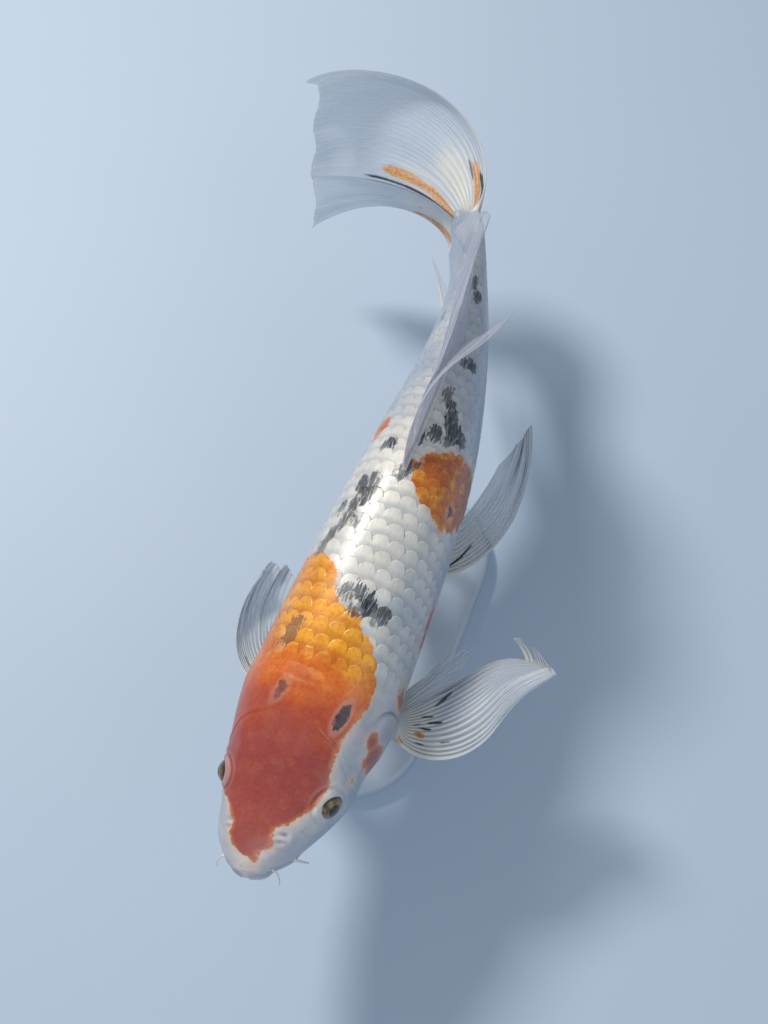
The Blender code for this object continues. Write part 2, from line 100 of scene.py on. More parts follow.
def curve(table, column=1):
    """Smooth function through a table's rows, without overshoot; takes numbers or arrays."""
    xs = np.array([row[0] for row in table], float)
    ys = np.array([row[column] for row in table], float)
    h = np.diff(xs)
    d = np.diff(ys) / h
    m = np.concatenate([[d[0]], np.zeros(len(xs) - 2), [d[-1]]])
    for i in range(1, len(xs) - 1):
        if d[i - 1] * d[i] > 0:
            m[i] = 2 * d[i - 1] * d[i] / (d[i - 1] + d[i])

    def value(x):
        x = np.clip(np.asarray(x, float), xs[0], xs[-1])
        i = np.clip(np.searchsorted(xs, x, side="right") - 1, 0, len(xs) - 2)
        t = (x - xs[i]) / h[i]
        return ((2 * t**3 - 3 * t**2 + 1) * ys[i] + (t**3 - 2 * t**2 + t) * h[i] * m[i]
                + (-2 * t**3 + 3 * t**2) * ys[i + 1] + (t**3 - t**2) * h[i] * m[i + 1])
    return value


heading, roll, drop = curve(HEADING), curve(ROLL), curve(DROP)
half_width, height, depth = curve(GIRTH, 1), curve(GIRTH, 2), curve(GIRTH, 3)
STEPS = 400
_path = [np.array([SNOUT[0], SNOUT[1], SPINE_Z])]
for _i in range(STEPS):
    _a = radians(float(heading((_i + 0.5) / STEPS)))
    _path.append(_path[-1] + np.array([sin(_a), cos(_a), 0.0]) * STANDARD_LENGTH / STEPS)
_path = np.array(_path)
# beyond the last vertebra the flesh wraps the fan of the tail fin: height mm, degrees to the left
FAN = curve([(-21.0, -3.0), (-10.5, -13.0), (0.0, -20.0), (5.7, -5.0), (10.8, 10.0),
             (15.9, 25.0), (21.0, 32.0)])
FLESH_END = 1.036


def end_at(a):
    """Share of the length at which the flesh ends over the tail fin: a rounded edge."""
    return FLESH_END - 0.026 * np.abs(np.cos(a))**3


def bump(x, middle, width):
    return np.exp(-((x - middle) / width)**2)


def smooth(x, low, high):
    t = np.clip((x - low) / (high - low), 0.0, 1.0)
    return t * t * (3 - 2 * t)


def frame(f):
    """Mid point and the tailward, left and up directions at a share f of the length."""
    f = np.asarray(f, float)
    a = np.radians(heading(f))
    zero = np.zeros_like(a)
    tail = np.stack([np.sin(a), np.cos(a), zero], -1)
    left = np.stack([np.cos(a), -np.sin(a), zero], -1)
    up = np.stack([zero, zero, zero + 1.0], -1)
    r = np.radians(roll(f))[..., None]
    left, up = left * np.cos(r) - up * np.sin(r), up * np.cos(r) + left * np.sin(r)
    x = np.clip(f, 0.0, 1.0) * STEPS
    i = np.minimum(x.astype(int), STEPS - 1)
    p = _path[i] + (_path[i + 1] - _path[i]) * (x - i)[..., None]
    p = p + tail * ((f - np.clip(f, 0.0, 1.0)) * STANDARD_LENGTH)[..., None]
    return p, tail, left, up


def form(f, a):
    """Point of the body's surface; a = 0 is the back, pi/2 the left side, pi the belly."""
    f, a = np.broadcast_arrays(np.asarray(f, float), np.asarray(a, float))
    p, tail, left, up = frame(f)
    nose = np.where(f < NOSE, np.sqrt(np.maximum(0.0, 1.0 - (1.0 - f / NOSE)**2)), 1.0)
    s, c = np.sin(a), np.cos(a)
    power = 2.0 / FULLNESS
    beyond = np.clip((f - 0.985) / (end_at(a) - 0.985), 0.0, 1.0)
    x = half_width(f) * nose * np.abs(s)**power * np.sign(s) * (0.13 + 0.87 * (1 - beyond)**1.15)
    z = np.where(c > 0, height(f), depth(f)) * nose * np.abs(c)**power * np.sign(c)
    z = z * (1 - 0.10 * smooth(f, 0.99, 1.03))
    side = np.abs(a)
    swell = (1.0 * bump(f, EYE_AT[0], 0.028) * bump(side, radians(EYE_AT[1]), 0.42)
             - 0.6 * bump(f, 0.145, 0.016) * bump(side, 1.75, 0.55)
             - 4.5 * smooth(f, 0.003, 0.020) * (1 - smooth(f, 0.045, 0.120))
             * bump(side, 1.8, 0.8) * (0.75 + 0.25 * s)
             - 2.2 * bump(f, 0.168, 0.030) * bump(side, 1.85, 0.5)
             + 0.9 * bump(f, 0.200, 0.035) * bump(side, 1.8, 0.65))
    x = x + swell * s - 4.5 * (1 - smooth(f, 0.0, 0.085))     # the snout turns a little to the right
    z = z + swell * c
    # over the root of the tail fin the flesh follows the fan's spread
    out = np.maximum(f - 1.0, 0.0) * STANDARD_LENGTH / MM
    x = x + out * np.tan(np.radians(FAN(z)))
    return p + (left * x[..., None] + up * (z + drop(f))[..., None]) * MM


def wrap(a):
    return (a + pi) % (2 * pi) - pi


def normal(f, a, surface=form, step=0.002):
    f, a = np.broadcast_arrays(np.asarray(f, float), np.asarray(a, float))
    n = np.cross(surface(f, wrap(a + 10 * step)) - surface(f, wrap(a - 10 * step)),
                 surface(f + step, a) - surface(np.maximum(f - step, 0.0003), a))
    n = n / np.maximum(np.linalg.norm(n, axis=-1, keepdims=True), 1e-12)
    p, tail, left, up = frame(f)
    middle = p + up * (drop(f) * MM)[..., None]
    # next to the snout's tip the way out is forwards
    way = form(f, a) - middle - tail * 0.004 * (f < 0.01)[..., None]
    return n * np.where(np.sum(n * way, axis=-1, keepdims=True) < 0, -1.0, 1.0)


def direction(f, az, el):
    """Direction at share f: az degrees from tailwards to the fish's left, el degrees up."""
    a, e, h = np.radians(az), np.radians(el), np.radians(heading(f))
    zero = np.zeros(np.broadcast(a, e, h).shape)
    tail = np.stack([np.sin(h) + zero, np.cos(h) + zero, zero], -1)
    left = np.stack([np.cos(h) + zero, -np.sin(h) + zero, zero], -1)
    up = np.array([0.0, 0.0, 1.0])
    return ((tail * np.cos(a)[..., None] + left * np.sin(a)[..., None]) * np.cos(e)[..., None]
            + up * (np.sin(e) + zero)[..., None])
# form section ends


# ================================================================ relief of the flesh
# relief section starts
# share of the length at which scales begin, by degrees down from the back
SCALES_FROM = curve([(0, 0.226), (35, 0.232), (60, 0.240), (80, 0.252), (100, 0.262), (120, 0.258),
                     (140, 0.240), (160, 0.225), (180, 0.215)])
# the preopercle's line over the cheek: degrees down from the back, share of the length
CHEEK_LINE = curve([(12, 0.181), (25, 0.172), (39, 0.164), (50, 0.154), (62, 0.142), (75, 0.136),
                    (95, 0.136), (112, 0.146), (126, 0.165)])
COAT = 0.65                      # depth of the scales over the flesh, mm


def gill(f, a):
    """Place on the gill cover: along and down its outline, and mm outside its edge."""
    along = (f - GILL_AT[0]) / GILL_HALF[0]
    down = (np.degrees(np.abs(a)) - GILL_AT[1]) / GILL_HALF[1]
    down = down / (1.0 - 0.08 * (1.0 + np.clip(along, -1.2, 1.2)))
    size = (np.abs(along)**2.25 + np.abs(down)**2.25)**(1 / 2.25)
    return along, down, (size - 1.0) * 20.0


def fin_feet():
    """Foot lines of the fins: (first share, degrees, last share, degrees, swell mm, reach mm)."""
    return [(0.236, 112, 0.275, 134, 1.9, 5.5), (0.236, -112, 0.275, -134, 1.9, 5.5),
            (0.485, 148, 0.53, 160, 1.1, 4.5), (0.485, -148, 0.53, -160, 1.1, 4.5),
            (0.515, 0, 0.855, 0, 1.0, 3.0), (0.765, 180, 0.83, 180, 1.2, 3.4)]


def foot_distance(P, foot):
    """mm from points to a fin's foot line."""
    u = np.linspace(0, 1, 25)
    line = form(foot[0] + (foot[2] - foot[0]) * u, np.radians(foot[1] + (foot[3] - foot[1]) * u))
    flat = P.reshape(-1, 3)
    best = np.full(len(flat), 1e9)
    for q in line:
        best = np.minimum(best, np.linalg.norm(flat - q, axis=1))
    return best.reshape(P.shape[:-1]) / MM


def relief(f, a, feet=True):
    """Height of the flesh's own shapes over the plain form, mm."""
    f, a = np.broadcast_arrays(np.asarray(f, float), np.asarray(a, float))
    P = form(f, a)
    side = np.degrees(np.abs(a))
    h = np.zeros(f.shape)
    for way in (1, -1):
        # eye socket: the skin dips under the ball, with a lid ring and a soft fold around it
        r = np.linalg.norm(P - form(EYE_AT[0], way * radians(EYE_AT[1])), axis=-1) / MM
        # the upper lid lies further over the ball than the lower one
        gap = np.linalg.norm(P - form(EYE_AT[0] + 0.0015, way * radians(EYE_AT[1] + 4.4)), axis=-1) / MM
        h += (0.55 * bump(gap, 6.9, 0.9) - 0.30 * bump(r, 9.6, 0.9) + 0.22 * bump(r, 11.4, 1.1)
              - 3.6 * (1 - smooth(gap, 4.6, 6.2)))
        h += 1.35 * bump(r, 6.6, 2.6) * bump(side, EYE_AT[1] - 13, 9)
        # nostril: a small front pit, a soft flap standing up behind it and a wider rear pit
        flat = frame(f)
        x = (f - 0.048) * STANDARD_LENGTH / MM
        y = (wrap(a - way * radians(31.0))) * np.linalg.norm(P - flat[0], axis=-1) / MM
        h += (-0.60 * np.exp(-((x + 2.0)**2 + y**2) / 1.15**2) - 1.05 * np.exp(-((x - 1.7)**2 + (0.80 * y)**2) / 1.40**2)
              + 0.85 * np.exp(-((x + 0.1 + 0.10 * y**2) / 0.85)**2 - (y / 2.1)**2)
              + 0.25 * bump(np.hypot(x, y), 3.8, 1.2))
    # mouth: gape, lips and the folds behind them
    p0, t0, l0, u0 = frame(0.0)
    lean = radians(-12.0)
    back = t0 * cos(lean) + u0 * sin(lean)
    rise = u0 * cos(lean) - t0 * sin(lean)
    v = P - (p0 + u0 * MOUTH_Z)
    over, deep = (v @ rise) / MM, (v @ back) / MM
    # the gape bends down to its corners
    over = over + 0.30 + 0.0125 * ((v @ l0) / MM)**2
    lips = 1 - smooth(deep, 14.0, 21.0)
    h += (-1.9 * bump(over, 0.0, 0.62) + 1.35 * bump(over, 2.1, 1.45) + 1.15 * bump(over, -2.0, 1.3)
          - 0.60 * bump(over, 5.4 + 0.06 * deep, 0.75) - 0.50 * bump(over, -4.9, 0.8)
          + 0.35 * bump(over, 7.6 + 0.06 * deep, 1.6)) * lips
    h += 0.10 * np.sin(over * 4.2) * bump(over, 2.6, 1.6) * lips
    h += -0.75 * bump(deep, 20.0, 0.9) * bump(over, -0.5, 4.2) * (1 - smooth(deep, 22, 24))
    h += -0.35 * bump(deep - 0.5 * over, 24.5, 0.9) * bump(over, 1.0, 5.0)
    # cheek line, the gill cover's raised plate and its free rear edge
    head = (1 - smooth(f, 0.24, 0.262))
    off = (f - CHEEK_LINE(side)) * STANDARD_LENGTH / MM
    fade = smooth(side, 14, 24) * (1 - smooth(side, 112, 126))
    h += (-0.34 * bump(off, 0.0, 0.70) + 0.20 * bump(off, 1.9, 1.2)) * fade
    along, down, edge = gill(f, a)
    turn = np.degrees(np.arctan2(down, along))           # 0 to the rear, 90 to the belly
    rear = smooth(turn, -112, -48) * (1 - smooth(turn, 118, 162))
    free = smooth(turn, -75, -20) * (1 - smooth(turn, 105, 150))
    h += (0.62 * (1 - smooth(edge, -1.1, 0.30)) * smooth(edge, -8.0, -2.5)
          - (0.45 + 1.00 * free) * bump(edge, 0.95, 0.60) + 0.22 * bump(edge, 2.8, 0.9)) * rear
    # the gill cover's soft membrane is a second, lower step inside the edge
    h += -0.22 * bump(edge, -2.6, 0.8) * free
    fan = np.arctan2(down + 0.95, along + 1.25)
    h += 0.07 * np.sin(fan * 34 + 0.8 * np.sin(fan * 9)) * smooth(-edge, 3.0, 6.0) * (1 - smooth(-edge, 12, 17))
    # soft folds over the cheek and under the eye, and faint sensory pores' furrows
    h += -0.20 * bump(side - 78 + 170 * (f - 0.10), 0, 3.2) * bump(f, 0.105, 0.030)
    h += -0.16 * bump(side - 92 + 90 * (f - 0.10), 0, 2.6) * bump(f, 0.090, 0.030)
    # skull: paired ridges over the eyes and a shallow middle dip, and the edge of the nape
    h += (0.45 * bump(side, 40, 9) * bump(f, 0.125, 0.045) - 0.40 * bump(side, 0, 14) * bump(f, 0.10, 0.06)
          - 0.30 * bump(side, 60, 10) * bump(f, 0.150, 0.012))
    nape = (f - (SCALES_FROM(side) - 0.006)) * STANDARD_LENGTH / MM
    h += 0.30 * bump(nape, -1.2, 1.6) * (1 - smooth(side, 60, 85)) * head
    # throat: the edges of the gill membranes run forward to a point under the jaw
    line = 132 + 40 * smooth(f, 0.205, 0.085)
    h += (-0.8 * bump((side - line) * 0.62, 0, 0.8) + 0.35 * bump((side - line) * 0.62, 2.0, 1.2)) \
        * smooth(f, 0.085, 0.11) * (1 - smooth(f, 0.20, 0.235))
    # vent
    h += (-1.0 * bump((f - 0.752) * 405, 0, 1.3) + 0.6 * bump((f - 0.752) * 405, 0, 3.2)) * bump((side - 180) * 0.6, 0, 2.4)
    if feet:
        for foot in fin_feet():
            h += foot[4] * bump(foot_distance(P, foot), 0.0, foot[5])
    return h


def sink(f, a):
    """How far the flesh lies under the CAD's surface to make room for the coat, mm."""
    start = SCALES_FROM(np.degrees(np.abs(a)))
    return 0.10 + (COAT - 0.10) * smooth(f, start - 0.004, start + 0.018)


def flesh(f, a, feet=True):
    n = normal(f, a)
    return form(f, a) + n * ((relief(f, a, feet) - sink(f, a)) * MM)[..., None]


# ---------------------------------------------------------------- girth by arc, for the coat
_F = np.linspace(0.0, 1.04, 105)
_A = np.linspace(0.0, pi - 1e-6, 181)
_ring = form(_F[:, None], _A[None, :])
_arc = np.concatenate([np.zeros((len(_F), 1)),
                       np.cumsum(np.linalg.norm(np.diff(_ring, axis=1), axis=-1), axis=1)], axis=1)
_half = _arc[:, -1] / MM                                   # back to belly, mm
_W = np.linspace(0, 1, 97)
_ang = np.array([np.interp(_W, _arc[i] / max(_arc[i, -1], 1e-9), _A) for i in range(len(_F))])


def half_girth(f):
    return np.interp(f, _F, _half)


def angle_at(f, w):
    """Angle at a signed share of the way from back to belly (1 is the belly's left side)."""
    f, w = np.broadcast_arrays(np.asarray(f, float), np.asarray(w, float))
    x = np.clip(f / 1.04 * 104, 0, 103.999)
    i = x.astype(int)
    t = x - i
    y = np.clip(np.abs(w), 0, 1) * 96
    k = np.minimum(y.astype(int), 95)
    s = y - k
    value = ((_ang[i, k] * (1 - s) + _ang[i, k + 1] * s) * (1 - t)
             + (_ang[i + 1, k] * (1 - s) + _ang[i + 1, k + 1] * s) * t)
    return value * np.where(w < 0, -1, 1)


# ================================================================ markings in body coordinates
# the red hood of the head and shoulders, between a left and a right edge: share, degrees
HOOD_LEFT = curve([(0.0145, 17), (0.017, 20), (0.022, 16), (0.027, 15), (0.031, 22), (0.037, 24),
                   (0.045, 20), (0.056, 18), (0.061, 23), (0.068, 30), (0.078, 36), (0.097, 44.5),
                   (0.112, 48), (0.135, 46), (0.146, 42), (0.170, 41), (0.190, 45), (0.213, 48),
                   (0.236, 52), (0.258, 48), (0.278, 40), (0.304, 24), (0.320, 8), (0.334, -6),
                   (0.360, -13), (0.379, -28), (0.388, -44)])
HOOD_RIGHT = curve([(0.0145, 14), (0.017, 2), (0.019, -9), (0.022, -18), (0.030, -26), (0.039, -29),
                    (0.043, -27), (0.050, -28), (0.059, -33), (0.071, -43), (0.080, -57), (0.10, -74),
                    (0.16, -82), (0.22, -88), (0.28, -84), (0.34, -76), (0.375, -64), (0.388, -46)])
# the saddle on the left flank, between a front and a rear edge: degrees, share
SADDLE_FRONT = curve([(4, 0.524), (9, 0.506), (21, 0.487), (33, 0.480), (49, 0.471), (62, 0.480),
                      (73, 0.495), (85, 0.520), (96, 0.545), (106, 0.568)])
SADDLE_REAR = curve([(4, 0.532), (12, 0.552), (21, 0.566), (41, 0.579), (64, 0.588), (85, 0.590),
                     (96, 0.586), (106, 0.572)])
# smaller red patches: share, degrees, half length mm, half height mm, lean degrees
RED = [(0.180, 98, 5.6, 7.4, -30), (0.184, 84, 6.0, 9.0, -35), (0.195, 71, 4.2, 5.2, 12), (0.173, 91, 3.2, 4.4, -20), (0.190, 109, 5.4, 6.4, 10), (0.143, 72, 1.9, 1.7, 0), (0.270, 89, 5.6, 7.6, 20),
       (0.372, 92, 13.0, 5.5, -8), (0.588, -47, 7.5, 6.0, 0), (0.470, -108, 16.0, 9.0, 10),
       (0.335, 112, 9.0, 5.0, 0), (0.300, -102, 11.0, 9.0, 0)]
# ink (black) patches: share, degrees, half length mm, half height mm, lean degrees, strength
INK = [(0.275, -25, 9.0, 5.5, 15, 0.62), (0.200, 33.7, 6.6, 3.0, 12, 0.95), (0.204, -12.7, 5.0, 2.3, 20, 0.60),
       (0.337, 0, 5.0, 4.0, 0, 0.75), (0.345, 7, 4.6, 5.0, 0, 0.90), (0.337, 19, 5.6, 5.0, 0, 1.0),
       (0.331, 31, 4.2, 4.6, 0, 0.95), (0.321, 11, 3.0, 4.5, 0, 0.80), (0.321, 27, 3.6, 2.6, 0, 0.65),
       (0.391, -38, 5.2, 4.2, 0, 0.75), (0.411, -37, 7.0, 3.8, 30, 0.85), (0.430, -28, 6.6, 3.4, 30, 0.85),
       (0.430, -16, 4.6, 2.8, 0, 0.85), (0.452, -41, 5.4, 3.6, 0, 0.80), (0.453, -28, 6.2, 4.2, 10, 0.85),
       (0.471, -19, 6.4, 4.2, 0, 0.95), (0.487, -30, 7.4, 4.6, 10, 0.95), (0.483, -15, 5.0, 3.4, 0, 0.95),
       (0.498, -22, 5.2, 3.4, 0, 0.9), (0.555, -20, 4.6, 3.8, 0, 1.0), (0.549, -27, 3.4, 2.4, 0, 0.8),
       (0.516, 0, 4.4, 2.8, 20, 0.85), (0.530, 7, 3.0, 2.0, 0, 0.8), (0.571, 1.5, 4.0, 2.4, 0, 0.95),
       (0.587, 11, 5.6, 4.4, 0, 0.92), (0.604, 30, 6.4, 6.2, 0, 1.0), (0.622, 23, 6.4, 5.6, 0, 1.0),
       (0.601, 43, 4.6, 4.0, 0, 0.95), (0.642, 16, 3.6, 3.6, 0, 0.95), (0.657, 10, 5.2, 3.8, 0, 0.80),
       (0.582, 26, 3.0, 3.6, 0, 0.75), (0.716, 18, 3.6, 3.4, 0, 0.9), (0.722, 31, 4.6, 4.2, 0, 1.0),
       (0.866, 4, 4.6, 3.2, 0, 0.9), (0.842, 18, 4.4, 3.6, 0, 0.95), (0.846, -6, 3.4, 2.4, 0, 0.75),
       (0.809, -44, 3.2, 2.0, 0, 0.6), (0.502, 55, 4.2, 3.4, 20, 1.0), (0.505, 40, 1.4, 1.4, 0, 0.6),
       (0.322, -30, 1.3, 1.1, 0, 0.8), (0.305, -40, 1.6, 1.3, 0, 0.8),
       (0.690, -70, 4.5, 3.0, 20, 0.8), (0.560, -92, 5.0, 4.0, 0, 0.9), (0.640, 84, 4.0, 3.0, 0, 0.7),
       (0.430, -84, 6.0, 4.0, 10, 0.8)]


def patch(f, a, row):
    """Signed mm to the edge of an oval patch, negative inside."""
    x = (f - row[0]) * STANDARD_LENGTH / MM
    y = wrap(a - radians(row[1])) * half_girth(f) / pi
    c, s = cos(radians(row[4])), sin(radians(row[4]))
    x, y = x * c + y * s, y * c - x * s
    return (np.sqrt((x / row[2])**2 + (y / row[3])**2) - 1.0) * min(row[2], row[3])


def red_edge(f, a):
    """Signed mm to the edge of the red markings, negative inside."""
    radius = half_girth(f) / pi
    d = np.degrees(a)
    hood = np.maximum(np.maximum(d - HOOD_LEFT(f), HOOD_RIGHT(f) - d) * pi / 180 * radius,
                      np.maximum(0.015 - f, f - 0.388) * STANDARD_LENGTH / MM)
    saddle = np.maximum(np.maximum(SADDLE_FRONT(d) - f, f - SADDLE_REAR(d)) * STANDARD_LENGTH / MM,
                        np.maximum(4 - d, d - 106) * pi / 180 * radius)
    best = np.minimum(hood, saddle)
    for row in RED:
        best = np.minimum(best, patch(f, a, row))
    return np.clip(best, -12, 12)


def ink_edge(f, a):
    """Signed mm to the edge of the black markings, and their strength there."""
    best = np.full(np.shape(f), 12.0)
    strength = np.zeros(np.shape(f))
    for row in INK:
        d = patch(f, a, row)
        strength = np.where(d < best, row[5], strength)
        best = np.minimum(best, d)
    return np.clip(best, -12, 12), strength
# relief section ends


# ================================================================ mesh building
def build(name, points, quads, mat, corner_uvs=None, fields=None, tris=None):
    """A mesh object from arrays. corner_uvs: name -> (corners, 2); fields: name -> one per point."""
    points = np.asarray(points, np.float32).reshape(-1, 3)
    quads = np.asarray(quads, np.int32).reshape(-1, 4)
    tris = np.zeros((0, 3), np.int32) if tris is None else np.asarray(tris, np.int32).reshape(-1, 3)
    mesh = bpy.data.meshes.new(name)
    mesh.vertices.add(len(points))
    mesh.vertices.foreach_set("co", points.ravel())
    corners = np.concatenate([quads.ravel(), tris.ravel()])
    starts = np.concatenate([np.arange(len(quads)) * 4, len(quads) * 4 + np.arange(len(tris)) * 3])
    mesh.loops.add(len(corners))
    mesh.loops.foreach_set("vertex_index", corners)
    mesh.polygons.add(len(starts))
    mesh.polygons.foreach_set("loop_start", starts.astype(np.int32))
    mesh.update(calc_edges=True)
    for key, value in (corner_uvs or {}).items():
        layer = mesh.uv_layers.new(name=key)
        layer.data.foreach_set("uv", np.asarray(value, np.float32).ravel())
    for key, value in (fields or {}).items():
        layer = mesh.attributes.new(key, "FLOAT", "POINT")
        layer.data.foreach_set("value", np.asarray(value, np.float32).ravel())
    mesh.polygons.foreach_set("use_smooth", np.ones(len(starts), bool))
    mesh.materials.append(mat)
    mesh.validate()
    mesh.update()
    ob = bpy.data.objects.new(name, mesh)
    bpy.context.scene.collection.objects.link(ob)
    return ob


def outward(quads, points, towards):
    """Turns all the quads over if the first ones face away from towards."""
    q = quads[len(quads) // 2]
    n = np.cross(points[q[1]] - points[q[0]], points[q[3]] - points[q[0]])
    return quads if np.dot(n, towards) > 0 else quads[:, ::-1]


# ================================================================ materials
def make(name):
    m = bpy.data.materials.new(name)
    m.use_nodes = True
    nt = m.node_tree
    return m, nt, nt.nodes["Principled BSDF"]


def node(nt, kind, props=None, **sockets):
    n = nt.nodes.new("ShaderNode" + kind)
    for key, value in (props or {}).items():
        setattr(n, key, value)
    for key, value in sockets.items():
        index = int(key[1:]) if key[0] == "i" and key[1:].isdigit() else key.replace("_", " ")
        put(nt, n.inputs[index], value)
    return n


def put(nt, socket, value):
    if isinstance(value, bpy.types.NodeSocket):
        nt.links.new(value, socket)
    elif isinstance(value, (tuple, list)) and len(value) == 3 and socket.type == "RGBA":
        socket.default_value = (*value, 1.0)
    else:
        socket.default_value = value


def calc(nt, op, a, b=0.0, c=0.0, clamp=False):
    n = node(nt, "Math", {"operation": op, "use_clamp": clamp}, i0=a)
    put(nt, n.inputs[1], b)
    if op in ("MULTIPLY_ADD", "SMOOTH_MIN", "COMPARE", "WRAP"):
        put(nt, n.inputs[2], c)
    return n.outputs[0]


def mix(nt, share, a, b, kind="MIX"):
    n = nt.nodes.new("ShaderNodeMix")
    n.data_type = "RGBA"
    n.blend_type = kind
    put(nt, n.inputs[0], share)
    put(nt, n.inputs[6], a)
    put(nt, n.inputs[7], b)
    return n.outputs[2]


def step(nt, value, low, high, out_low=0.0, out_high=1.0):
    n = node(nt, "MapRange", {"interpolation_type": "SMOOTHSTEP"}, i0=value, i1=low, i2=high, i3=out_low, i4=out_high)
    return n.outputs[0]


def noise(nt, where, scale, detail=3.0, rough=0.55, warp=0.0):
    n = node(nt, "TexNoise", None, Vector=where, Scale=scale, Detail=detail, Roughness=rough, Distortion=warp)
    return n.outputs["Fac"]


def stretched(nt, where, scale):
    return node(nt, "Mapping", {"vector_type": "POINT"}, Vector=where, Scale=scale).outputs[0]


def ramp(nt, value, stops):
    n = nt.nodes.new("ShaderNodeValToRGB")
    n.color_ramp.interpolation = "EASE"
    while len(n.color_ramp.elements) < len(stops):
        n.color_ramp.elements.new(0.5)
    for element, (at, colour) in zip(n.color_ramp.elements, stops):
        element.position = at
        element.color = (*colour, 1.0)
    put(nt, n.inputs[0], value)
    return n.outputs[0]


def attribute(nt, name):
    return node(nt, "Attribute", {"attribute_name": name}).outputs["Fac"]


def uv(nt, name):
    return node(nt, "UVMap", {"uv_map": name}).outputs[0]


def axes(nt, vector):
    return node(nt, "SeparateXYZ", None, i0=vector).outputs


# the flank white is darker and bluer than the back's white: painted shade of the flanks
WHITE_BACK, WHITE_FLANK_PAINTED_SHADE = (0.80, 0.76, 0.68), (0.31, 0.375, 0.48)
INK_DARK, INK_BLUE = (0.010, 0.012, 0.018), (0.040, 0.060, 0.085)


